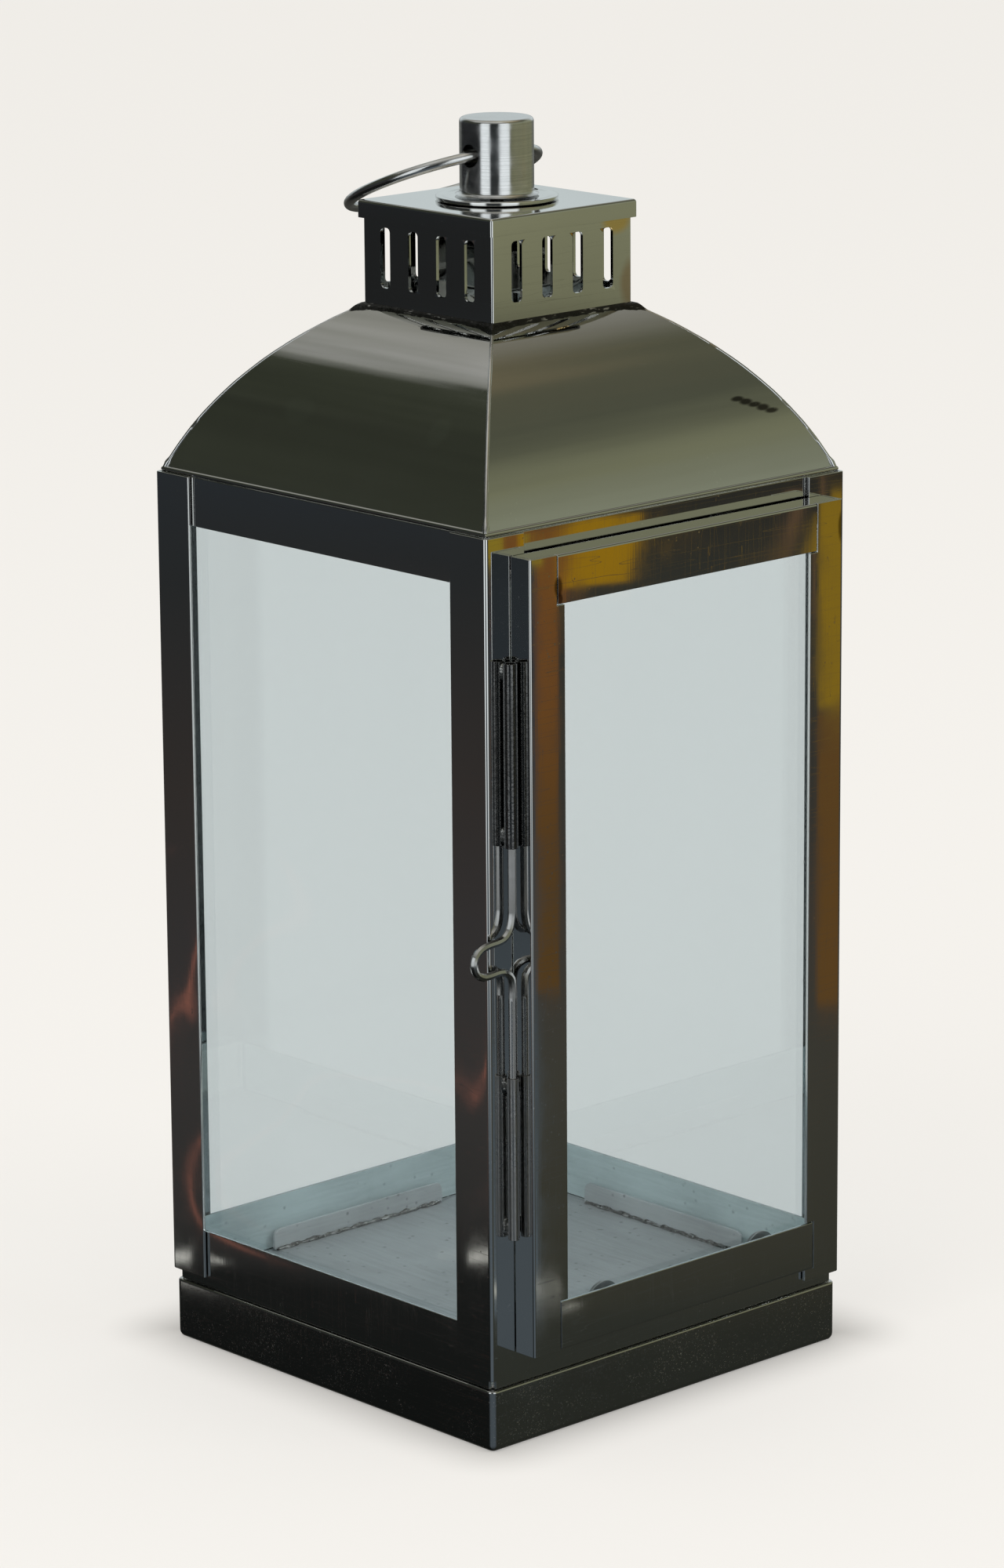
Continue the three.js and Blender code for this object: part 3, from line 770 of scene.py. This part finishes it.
# ---------------------------------------------------------------------------------------
# The hip seams. A thin run of solder closes each mitre from the foot to the neck, with a
# larger drop where the iron was lifted at the foot.
# ---------------------------------------------------------------------------------------
HIP_FOOT = 68.0 * MM
HIP_NECK = 28.2 * MM
HIP_STEPS = 60
HIP_SUNK = 0.5 * MM
HIP_DROP_AT = 0.012
hip_solder = bright_wire("hip_solder", 0.7, 0.16, along=(120, 120, 120))
for index, (corner, (side_x, side_y)) in enumerate(posts.items()):
    points, radii = [], []
    for step in range(HIP_STEPS + 1):
        t = step / HIP_STEPS
        out = HIP_FOOT + (HIP_NECK - HIP_FOOT) * t
        points.append(Vector((CX + side_x * out, CY + side_y * out, roof_height(out) - HIP_SUNK)))
        drop = 0.5 * math.exp(-((t - HIP_DROP_AT) / HIP_DROP_AT) ** 2)
        radii.append((0.62 + 0.04 * wander(5 * t, index) + drop) * MM)
    seam = drawn_bead("hip_seam_" + corner, points, radii)
    dress(seam, hip_solder)
    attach(seam, "frame")

# ---------------------------------------------------------------------------------------
# The vent box. Four walls of polished sheet with a row of punched slots in each, standing
# on the neck of the roof. The slots have rounded ends.
# ---------------------------------------------------------------------------------------
SLOT_END = 1.3 * MM
VENT_FOLD = 0.8 * MM
VENT_EDGE = 0.15 * MM
vent_low, vent_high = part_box("vent_box")
vent = worked_copy("vent_box", "vent_chimney")
# The short edges across the sheet, at the corners of the slots.
pick(
    "EDGE",
    lambda e: is_sharp(e)
    and edge_line(e)[0].z < 0.1
    and vent_low.z + 2 * MM < edge_line(e)[1].z < vent_high.z - 2 * MM
    and e.calc_length() < 1.5 * MM,
)
bpy.ops.mesh.bevel(offset=SLOT_END, segments=4, affect="EDGES", clamp_overlap=True)
# The box's own four corners are folded.
pick(
    "EDGE",
    lambda e: is_sharp(e)
    and edge_line(e)[0].z > 0.9
    and abs(abs(edge_line(e)[1].x - CX) - (vent_high.x - CX)) < TOUCH
    and abs(abs(edge_line(e)[1].y - CY) - (vent_high.y - CY)) < TOUCH,
)
bpy.ops.mesh.bevel(offset=VENT_FOLD, segments=4, affect="EDGES", clamp_overlap=True)
soften(VENT_EDGE, 2, 60)
done()
smooth(vent)
# The box's front right corner is painted gold near its top and brown lower down.
GOLD = (0.95, 0.62, 0.10)
BROWN = (0.50, 0.27, 0.12)
vent_tints = (
    ((CX + 21 * MM, CY - 27 * MM, vent_high.z - 4 * MM), (7 * MM, 6 * MM, 4.5 * MM), GOLD, 0.7),
    ((CX + 27 * MM, CY - 27 * MM, vent_low.z + 8 * MM), (5 * MM, 6 * MM, 8 * MM), BROWN, 0.5),
)
dress(vent, polished_sheet("vent_steel", wave=30e-6, tints=vent_tints))
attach(vent, "frame")
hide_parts("vent_box")

# ---------------------------------------------------------------------------------------
# The collar of solder round the foot of the vent box, where it is joined to the roof. It
# was filed down and wire-brushed, and is still rough.
# ---------------------------------------------------------------------------------------
# Half widths and heights of its rings, in millimetres, from the box wall outwards.
COLLAR = (
    (27.02, 311.8), (27.4, 311.6), (27.9, 311.3), (28.4, 311.0), (28.9, 310.7), (29.5, 310.4),
    (30.1, 309.8),
)
COLLAR_CUTS = 70
COLLAR_SUNK = 0.15 * MM
COLLAR_THICK = 0.4 * MM
inner, top = (value * MM for value in COLLAR[0])
outer = COLLAR[-1][0] * MM
bpy.ops.object.select_all(action="DESELECT")
bpy.ops.mesh.primitive_plane_add(size=2 * inner, location=(CX, CY, top))
collar = bpy.context.object
collar.name = "neck_solder"
bpy.ops.object.transform_apply(location=True, rotation=True, scale=True)
edit(collar)
bpy.ops.mesh.select_all(action="SELECT")
bpy.ops.mesh.delete(type="ONLY_FACE")
bpy.ops.mesh.select_all(action="SELECT")
last_half, last_up = inner, top
for ring_of_points in COLLAR[1:]:
    half, up = (value * MM for value in ring_of_points)
    bpy.ops.mesh.extrude_region_move(TRANSFORM_OT_translate={"value": (0, 0, up - last_up)})
    grow = half / last_half
    bpy.ops.transform.resize(value=(grow, grow, 1), center_override=(CX, CY, up))
    last_half, last_up = half, up
# The long edges of the rings, which run along x or y.
pick("EDGE", lambda e: edge_line(e)[0].z < 0.02 and max(edge_line(e)[0].xy) > 0.99)
bpy.ops.mesh.subdivide(number_cuts=COLLAR_CUTS)
bpy.ops.mesh.select_all(action="SELECT")
bpy.ops.mesh.normals_make_consistent(inside=False)
if pick("FACE", lambda f: f.normal.z > 0.2) < pick("FACE", lambda f: f.normal.z < -0.2):
    bpy.ops.mesh.select_all(action="SELECT")
    bpy.ops.mesh.flip_normals()
# The solder ran furthest at the corners, and least in the middle of each side.
sheet = bmesh.from_edit_mesh(collar.data)
for vert in sheet.verts:
    x, y = vert.co.x - CX, vert.co.y - CY
    out = max(abs(x), abs(y))
    near_corner = min(abs(x), abs(y)) / out
    share = (out - inner) / (outer - inner)
    lump = wander(x * 400 + y * 270 + 30 * share, 1.0)
    reach = (1.5 + 2.4 * near_corner ** 5 + 0.25 * wander(x * 160 + y * 110, 2.0)) * MM
    wider = inner + reach * share
    ground_up = roof_height(max(wider, NECK_HALF)) - COLLAR_SUNK
    share = min(share, 1.0)
    slope = ground_up + (top - ground_up) * (1 - share) ** 1.6
    swollen = (0.22 + 0.12 * lump) * MM * math.sin(math.pi * share)
    vert.co = Vector((CX + x * wider / out, CY + y * wider / out, slope + swollen))
bmesh.update_edit_mesh(collar.data)
done()
apply_modifier(collar, "SOLIDIFY", thickness=COLLAR_THICK, offset=-1.0)
smooth(collar, 60)
dress(collar, solder("collar_solder", 240.0, 0.35, 0.05, 0.3))
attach(collar, "frame")

# ---------------------------------------------------------------------------------------
# The lid of the vent box. A square of polished sheet with its rim folded down, pressed
# over the walls. Its folds are soft.
# ---------------------------------------------------------------------------------------
LID_FOLD = 0.9 * MM
LID_EDGE = 0.15 * MM
lid_low, lid_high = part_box("vent_lid")
lid = worked_copy("vent_lid", "vent_cap")
soften(
    LID_FOLD, 4,
    test=lambda along, at: max(abs(at.x - CX), abs(at.y - CY)) > lid_high.x - CX - TOUCH
    and at.z > lid_low.z + 1 * MM,
)
soften(LID_EDGE, 2, 60)
done()
smooth(lid)
dress(lid, polished_sheet("lid_steel", rough=0.05, wave=26e-6, specks=0.2))
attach(lid, "frame")
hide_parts("vent_lid")

# ---------------------------------------------------------------------------------------
# The knob and its washer plate. The plate is a thin polished disc with a rounded rim. The
# knob is turned from bar, brushed in the lathe and cross-drilled for the ring.
# ---------------------------------------------------------------------------------------
PLATE_RIM = 2.2 * MM
PLATE_STEP = 0.5 * MM
PLATE_DISH = 0.18 * MM
PLATE_EDGE = 0.3 * MM
plate_low, plate_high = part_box("knob_flange")
plate_radius = (plate_high.x - plate_low.x) / 2
bpy.ops.object.select_all(action="DESELECT")
bpy.ops.mesh.primitive_cylinder_add(
    vertices=96, radius=plate_radius, depth=plate_high.z - plate_low.z,
    location=(CX, CY, (plate_low.z + plate_high.z) / 2),
)
plate = bpy.context.object
plate.name = "knob_plate"
bpy.ops.object.transform_apply(location=True, rotation=True, scale=True)
edit(plate)
pick("FACE", lambda f: f.normal.z > 0.9)
bpy.ops.mesh.inset(thickness=PLATE_RIM)
bpy.ops.mesh.inset(thickness=PLATE_STEP)
bpy.ops.transform.translate(value=(0, 0, -PLATE_DISH))
soften(PLATE_EDGE, 3, 60)
done()
smooth(plate, 25)
dress(plate, polished_sheet("plate_steel", rough=0.05, wave=20e-6))
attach(plate, "frame")
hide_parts("knob_flange")


def turned_steel(name, shade=0.74, rough=0.12):
    """Turned and brushed bar: fine rings round the axis, some rub marks and small nicks."""
    material, tree, shader, place = new_material(name)
    rings = noise(tree, mapped(tree, place, scale=(30, 30, 2600)), 1.0, 3.0)
    marks = noise(tree, place, 170.0, 4.0)
    mixed = soft_step(tree, shares(tree, (rings, 0.5), (marks, 0.5)), 0.35, 0.65)
    colour = mix_colour(tree, mixed, grey(shade * 0.82), grey(shade * 1.08))
    roughness = soft_step(tree, marks, 0.35, 0.7, rough, rough + 0.12)
    height = shares(tree, (rings, 1.6e-6), (marks, 14e-6))
    metal_finish(tree, shader, colour, roughness, height)
    return material


KNOB_RADIUS = 10.6 * MM
KNOB_TOP_ROUND = 1.2 * MM
KNOB_FLARE = 1.4 * MM
FLARE_STEPS = 5
KNOB_HOLE = 3.3 * MM
HOLE_UP = 354.4 * MM
knob_low, knob_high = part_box("knob")
bpy.ops.object.select_all(action="DESELECT")
bpy.ops.mesh.primitive_cylinder_add(
    vertices=96, radius=KNOB_RADIUS, depth=knob_high.z - knob_low.z - KNOB_FLARE,
    location=(CX, CY, (knob_low.z + knob_high.z + KNOB_FLARE) / 2),
)
knob = bpy.context.object
knob.name = "turned_knob"
bpy.ops.object.transform_apply(location=True, rotation=True, scale=True)
edit(knob)
pick("EDGE", lambda e: is_sharp(e) and edge_line(e)[1].z > knob_high.z - 1 * MM)
bpy.ops.mesh.bevel(offset=KNOB_TOP_ROUND, segments=6, affect="EDGES")
# The foot flares out in a quarter circle to meet the plate.
pick("FACE", lambda f: f.normal.z < -0.99)
reach = KNOB_RADIUS
down = {"value": (0, 0, -KNOB_FLARE / FLARE_STEPS)}
for step in range(1, FLARE_STEPS + 1):
    wider = KNOB_RADIUS + KNOB_FLARE * (1 - math.sqrt(1 - (step / FLARE_STEPS) ** 2))
    bpy.ops.mesh.extrude_region_move(TRANSFORM_OT_translate=down)
    grow = wider / reach
    bpy.ops.transform.resize(value=(grow, grow, 1), center_override=(CX, CY, knob_low.z))
    reach = wider
done()
bpy.ops.object.select_all(action="DESELECT")
bpy.ops.mesh.primitive_cylinder_add(
    vertices=48, radius=KNOB_HOLE, depth=4 * KNOB_RADIUS,
    location=(CX, CY, HOLE_UP), rotation=(0, math.radians(90), 0),
)
drill = bpy.context.object
bpy.ops.object.transform_apply(location=True, rotation=True, scale=True)
apply_modifier(knob, "BOOLEAN", object=drill, operation="DIFFERENCE", solver="EXACT")
bpy.data.objects.remove(drill)
smooth(knob, 30)
dress(knob, turned_steel("knob_steel"))
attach(knob, "frame")
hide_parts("knob")

BOLT_EDGE = 0.3 * MM
bolt = worked_copy("knob_screw", "knob_bolt")
soften(BOLT_EDGE)
done()
smooth(bolt)
dress(bolt, dull_sheet("bolt_steel", 0.4, 0.3))
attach(bolt, "frame")
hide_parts("knob_screw")

# ---------------------------------------------------------------------------------------
# The carrying ring. Bright round wire bent to a ring, butted and soldered, that swings in
# the knob's cross hole and lies back against the lid.
# ---------------------------------------------------------------------------------------
RING_RADIUS = 28.0 * MM
RING_WIRE = 1.5 * MM
# The ring's middle is this far behind the hole and to its right, and the ring leans down.
RING_OFFSET = 26.5 * MM
RING_SHIFT = 1.8 * MM
RING_LEAN = math.radians(21.9)
bpy.ops.object.select_all(action="DESELECT")
bpy.ops.mesh.primitive_circle_add(
    vertices=20, radius=RING_WIRE, location=(RING_RADIUS, 0, 0),
    rotation=(math.radians(90), 0, 0),
)
ring = bpy.context.object
ring.name = "carry_loop"
bpy.ops.object.transform_apply(location=True, rotation=True, scale=True)
edit(ring)
bpy.ops.mesh.select_all(action="SELECT")
bpy.ops.mesh.spin(steps=120, angle=2 * math.pi, center=(0, 0, 0), axis=(0, 0, 1))
bpy.ops.mesh.select_all(action="SELECT")
bpy.ops.mesh.remove_doubles(threshold=WELD)
bpy.ops.mesh.normals_make_consistent(inside=False)
done()
ring.rotation_euler.x = -RING_LEAN
ring.location = (
    CX + RING_SHIFT,
    CY + RING_OFFSET * math.cos(RING_LEAN),
    HOLE_UP - RING_OFFSET * math.sin(RING_LEAN),
)
bpy.ops.object.transform_apply(location=True, rotation=True, scale=True)
smooth(ring, 60)
dress(ring, bright_wire("ring_steel", along=(260, 260, 260)))
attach(ring, "ring")
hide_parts("carry_ring")

# ---------------------------------------------------------------------------------------
# The studio. A pale floor, with a painted shadow round the foot, and soft even light. The polished steel
# mirrors
# surroundings of its own: dark, with olive and grey skies, coloured cards and two tall light panels.
# ---------------------------------------------------------------------------------------
PALE = (0.905, 0.880, 0.838, 1)
FLOOR_GLOW = (0.737, 0.722, 0.697, 1)
FLOOR_LIT = 0.17
# A painted shadow darkens the floor's glow towards the foot, from this far beyond it to this far under
# it.
PAINTED_SHADOW_OUT = 26 * MM
PAINTED_SHADOW_IN = -14 * MM
PAINTED_SHADOW_DARK = 0.28
scene = bpy.context.scene
scene.view_settings.view_transform = "Standard"
scene.view_settings.look = "None"

bpy.ops.object.select_all(action="DESELECT")
bpy.ops.mesh.primitive_plane_add(size=60, location=(CX, CY, 0))
ground = bpy.context.object
ground.name = "studio_floor"
ground.visible_glossy = False
material, tree, shader, place = new_material("studio_floor_paint")
shader.inputs["Base Color"].default_value = PALE
shader.inputs["Roughness"].default_value = 1.0
shader.inputs["Specular IOR Level"].default_value = 0.0
# From here on, a painted contact shadow round the foot darkens the floor's glow.
floor_parts = add_node(tree, "SeparateXYZ", {0: place}).outputs
squares = []
for value, centre_line in ((floor_parts[0], CX), (floor_parts[1], CY)):
    from_centre = calc(tree, "ABSOLUTE", calc(tree, "SUBTRACT", value, centre_line))
    beyond = calc(tree, "SUBTRACT", from_centre, foot_high.x - CX)
    squares.append(calc(tree, "POWER", calc(tree, "MAXIMUM", beyond, 0.0), 2.0))
far = calc(tree, "SQRT", calc(tree, "ADD", *squares))
shade = soft_step(tree, far, PAINTED_SHADOW_IN, PAINTED_SHADOW_OUT, PAINTED_SHADOW_DARK, 1.0)
glow = add_node(tree, "Emission", {"Color": FLOOR_GLOW, "Strength": shade})
mixed = add_node(tree, "MixShader", {0: FLOOR_LIT, 1: glow.outputs[0], 2: shader.outputs[0]})
tree.links.new(mixed.outputs[0], tree.nodes["Material Output"].inputs["Surface"])
dress(ground, material)

# The steel gives back about this share of the light, so its surroundings are that much
# brighter than the colour codes below, which say how the steel looks.
STEEL_GIVES = 0.72


def light_of(code):
    """The light that the steel has to see to show a colour code."""
    parts = [int(code[i:i + 2], 16) / 255 for i in (0, 2, 4)]
    linear = [p / 12.92 if p <= 0.04045 else ((p + 0.055) / 1.055) ** 2.4 for p in parts]
    return (*(p / STEEL_GIVES for p in linear), 1)


world = bpy.data.worlds.new("studio")
scene.world = world
world.use_nodes = True
tree = world.node_tree
tree.nodes.clear()
facing = add_node(tree, "TexCoord").outputs["Generated"]
east, north, up = add_node(tree, "SeparateXYZ", {0: facing}).outputs
rise = calc(tree, "ARCSINE", up)


def sky(stops, ripple=0.0):
    """Light by height above the horizon, from (degrees, colour code) stops. A ripple is how
    far, in degrees, the borders wander up and down, well above the horizon."""
    height = rise
    if ripple:
        fold = noise(tree, mapped(tree, facing, scale=(5, 5, 9)), 1.0, 3.0)
        fold = calc(tree, "SUBTRACT", fold, 0.5)
        low, high = math.radians(12), math.radians(34)
        strength = soft_step(tree, rise, low, high, 0.0, 2 * math.radians(ripple))
        height = calc(tree, "ADD", rise, calc(tree, "MULTIPLY", fold, strength))
    factor = calc(tree, "MULTIPLY_ADD", height, 1 / math.pi, 0.5)
    made = add_node(tree, "ValToRGB", {0: factor})
    ramp = made.color_ramp
    ramp.interpolation = "LINEAR"
    while len(ramp.elements) > 1:
        ramp.elements.remove(ramp.elements[-1])
    for index, (degrees, code) in enumerate(stops):
        position = (degrees + 90) / 180
        if index == 0:
            element = ramp.elements[0]
            element.position = position
        else:
            element = ramp.elements.new(position)
        element.color = light_of(code)
    return made.outputs[0]


toward_door = sky([
    (-90, "1c1d18"), (-21, "2b2d28"), (-19.3, "2b2d28"), (-18.9, "33332b"), (-17, "3a3932"),
    (-15.6, "3b3833"), (-12, "2d2e29"), (-10.2, "26241f"), (-9.6, "4a4a3c"), (-9.0, "77785f"),
    (8, "7a7b62"), (20, "7a7e6d"), (30, "74765e"), (40, "4b4d3f"), (46, "525242"),
    (52, "746850"), (58, "8a8269"), (75, "a9a595"), (90, "b5b2a6"),
], ripple=5)
toward_pane = sky([
    (-90, "0c0d0c"), (-21, "121413"), (-19.0, "141615"), (-18.5, "2c2c2b"), (-17, "343231"),
    (-15.5, "323030"), (-14, "302c2a"), (-12, "252728"), (-10.5, "262a2e"), (-9.5, "1d1e1e"),
    (0, "22262a"), (12, "2a2c28"), (20, "30332a"), (34, "2c2f26"), (40, "35382e"),
    (43.5, "7c7d77"), (48, "9a9a97"), (58, "a5a6a2"), (75, "b0b0ac"), (90, "b5b2a6"),
], ripple=16)
away = sky([
    (-90, "2a2a28"), (-20, "3a3a36"), (-8, "5a5c58"), (2, "9aa0a1"), (10, "bcc5c6"),
    (20, "b4bcbd"), (35, "8f918c"), (47, "84827a"), (60, "9a978c"), (90, "b5b2a6"),
])
beside = sky([
    (-90, "101110"), (-25, "4c545a"), (-17, "4c545a"), (-13, "30363b"), (-10, "26292a"),
    (10, "2c2f30"), (30, "4a4c4a"), (50, "8a8a86"), (70, "b0b0ac"), (90, "b5b2a6"),
])


flat = calc(tree, "SUBTRACT", 1.0, calc(tree, "MULTIPLY", up, up))
flat = calc(tree, "SQRT", calc(tree, "MAXIMUM", flat, 0.0001))


def level_share(east_part, north_part):
    """How far a direction, taken along the ground, points one way."""
    ways = calc(tree, "MULTIPLY", east, east_part), calc(tree, "MULTIPLY", north, north_part)
    return calc(tree, "DIVIDE", calc(tree, "ADD", *ways), flat)


turn_door = level_share(0.731, -0.682)
turn_camera = level_share(-0.679, -0.734)
bearing = calc(tree, "ARCTAN2", turn_door, turn_camera)


def card(left, right, low, high, soft=0.06):
    """Where one card stands in the surroundings, between two bearings and two heights in
    degrees. Bearings are counted to the right from the latch corner's side."""
    soft = math.radians(soft)
    mask = 1.0
    borders = (bearing, left, 0.0), (bearing, right, 1.0), (rise, low, 0.0), (rise, high, 1.0)
    for value, edge, before in borders:
        edge = math.radians(edge)
        inside = soft_step(tree, value, edge - soft, edge + soft, before, 1.0 - before)
        mask = calc(tree, "MULTIPLY", mask, inside)
    return mask


def graded(low, high, below, above):
    """Light that goes from one colour code to another between two heights in degrees."""
    share = soft_step(tree, rise, math.radians(low), math.radians(high))
    return mix_colour(tree, share, light_of(below), light_of(above))


# Coloured cards opposite the door: left, right, low, high, softness, and their light.
door_cards = (
    (85.45, 86.2, -16.15, -11.1, 0.04, graded(-15.5, -12.5, "523c1e", "684421")),
    (74, 85.45, -19.4, -10.9, 0.03, graded(-20, -12, "4c555b", "2b3136")),
    (74, 85.7, -11.85, -11.2, 0.04, light_of("7e6c22")),
    (86.14, 86.85, -12.2, -11.0, 0.06, light_of("8a6812")),
    (88.44, 88.58, -12.4, -10.9, 0.06, light_of("5a4632")),
    (88.78, 101, -16.3, -13.35, 0.08, light_of("5c4220")),
    (88.78, 101, -13.3, -11.1, 0.06, light_of("80661a")),
)
for left, right, low, high, soft, light in door_cards:
    toward_door = mix_colour(tree, card(left, right, low, high, soft), toward_door, light)

# Copper strands opposite the left side, and a thin broken line of light on both sides.
strand = calc(tree, "ABSOLUTE", calc(tree, "SUBTRACT", noise(tree, facing, 26.0, 1.0), 0.5))
strand = soft_step(tree, strand, 0.0, 0.018, 0.85, 0.0)
strand = calc(tree, "MULTIPLY", strand, card(-130, -60, -18.5, -14.8, 0.2))
toward_pane = mix_colour(tree, strand, toward_pane, light_of("8a584a"))
pane_line = calc(
    tree, "ADD",
    card(-95.2, -94.3, -18.82, -18.71, 0.03),
    card(-98.3, -97.5, -18.82, -18.71, 0.03),
)
toward_pane = mix_colour(tree, pane_line, toward_pane, light_of("b4b4ae"))
broken = soft_step(tree, noise(tree, facing, 60.0, 2.0), 0.42, 0.56, 0.25, 1.0)
door_line = calc(tree, "MULTIPLY", card(74, 86.14, -19.15, -19.06, 0.03), broken)
toward_door = mix_colour(tree, door_line, toward_door, light_of("c0c0b6"))

# The four skies meet at the corners, under faint dark patches and the two light panels.
PANEL_LIGHT = (1.0, 1.06, 1.08, 1)
PATCH_DARK = (0.02, 0.02, 0.02, 1)
sides = mix_colour(tree, soft_step(tree, turn_door, -0.35, 0.35), toward_pane, toward_door)
ends = mix_colour(tree, soft_step(tree, turn_camera, -0.4, 0.4), away, beside)
how_end = soft_step(tree, calc(tree, "ABSOLUTE", turn_camera), 0.62, 0.93)
mirror_world = mix_colour(tree, how_end, sides, ends)
patches = soft_step(tree, noise(tree, facing, 5.0, 3.0), 0.3, 0.7, 0.0, 0.16)
mirror_world = mix_colour(tree, patches, mirror_world, PATCH_DARK)
panels_lit = calc(tree, "ADD", card(-50, -21, -15, 34, 3.5), card(9, 41, -15, 34, 3.5))
mirror_world = mix_colour(tree, panels_lit, mirror_world, PANEL_LIGHT)

# Mirrors see the dark surroundings, dull surfaces a soft white light, and the rest is pale.
SOFT_WHITE = (1.0, 0.98, 0.94, 1)
ray = add_node(tree, "LightPath").outputs
mirror_light, pale_light, soft_light = (
    add_node(tree, "Background", {"Color": colour, "Strength": strength}).outputs[0]
    for colour, strength in ((mirror_world, 1.0), (PALE, 1.0), (SOFT_WHITE, 1.7))
)
lights = {0: ray["Is Glossy Ray"], 1: pale_light, 2: mirror_light}
lights = add_node(tree, "MixShader", lights).outputs[0]
lights = {0: ray["Is Diffuse Ray"], 1: lights, 2: soft_light}
lights = add_node(tree, "MixShader", lights).outputs[0]
add_node(tree, "OutputWorld", {"Surface": lights})

# Two square area lamps, aimed at the lantern's middle: name, place, and power in watts.
LAMP_SIZE = 1.4
LAMP_AIM = Vector((CX, CY, 0.15))
LAMPS = (("key_light", (-1.9, -0.6, 1.9), 34.0), ("fill_light", (0.9, -2.0, 1.5), 26.0))
for name, where, power in LAMPS:
    lamp = bpy.data.lights.new(name, "AREA")
    lamp.size = LAMP_SIZE
    lamp.energy = power
    holder = bpy.data.objects.new(name, lamp)
    holder.location = where
    aim = LAMP_AIM - Vector(where)
    holder.rotation_euler = aim.to_track_quat("-Z", "Y").to_euler()
    holder.visible_glossy = False
    scene.collection.objects.link(holder)

# The camera stands in front of the door's latch side, a little above the knob.
CAMERA_PLACE = (-1.0915, -1.1818, 0.5741)
CAMERA_YAW = math.radians(42.75)
CAMERA_PITCH = math.radians(14.05)
CAMERA_ROLL = math.radians(-0.43)
lens = bpy.data.cameras.new("camera")
lens.lens = 131.29
lens.sensor_width = 36
lens.clip_start = 0.05
lens.clip_end = 100
camera = bpy.data.objects.new("camera", lens)
look = Vector((
    math.cos(CAMERA_PITCH) * math.sin(CAMERA_YAW),
    math.cos(CAMERA_PITCH) * math.cos(CAMERA_YAW),
    -math.sin(CAMERA_PITCH),
))
camera.matrix_world = (
    Matrix.Translation(CAMERA_PLACE)
    @ look.to_track_quat("-Z", "Y").to_matrix().to_4x4()
    @ Matrix.Rotation(CAMERA_ROLL, 4, "Z")
)
scene.collection.objects.link(camera)
scene.camera = camera
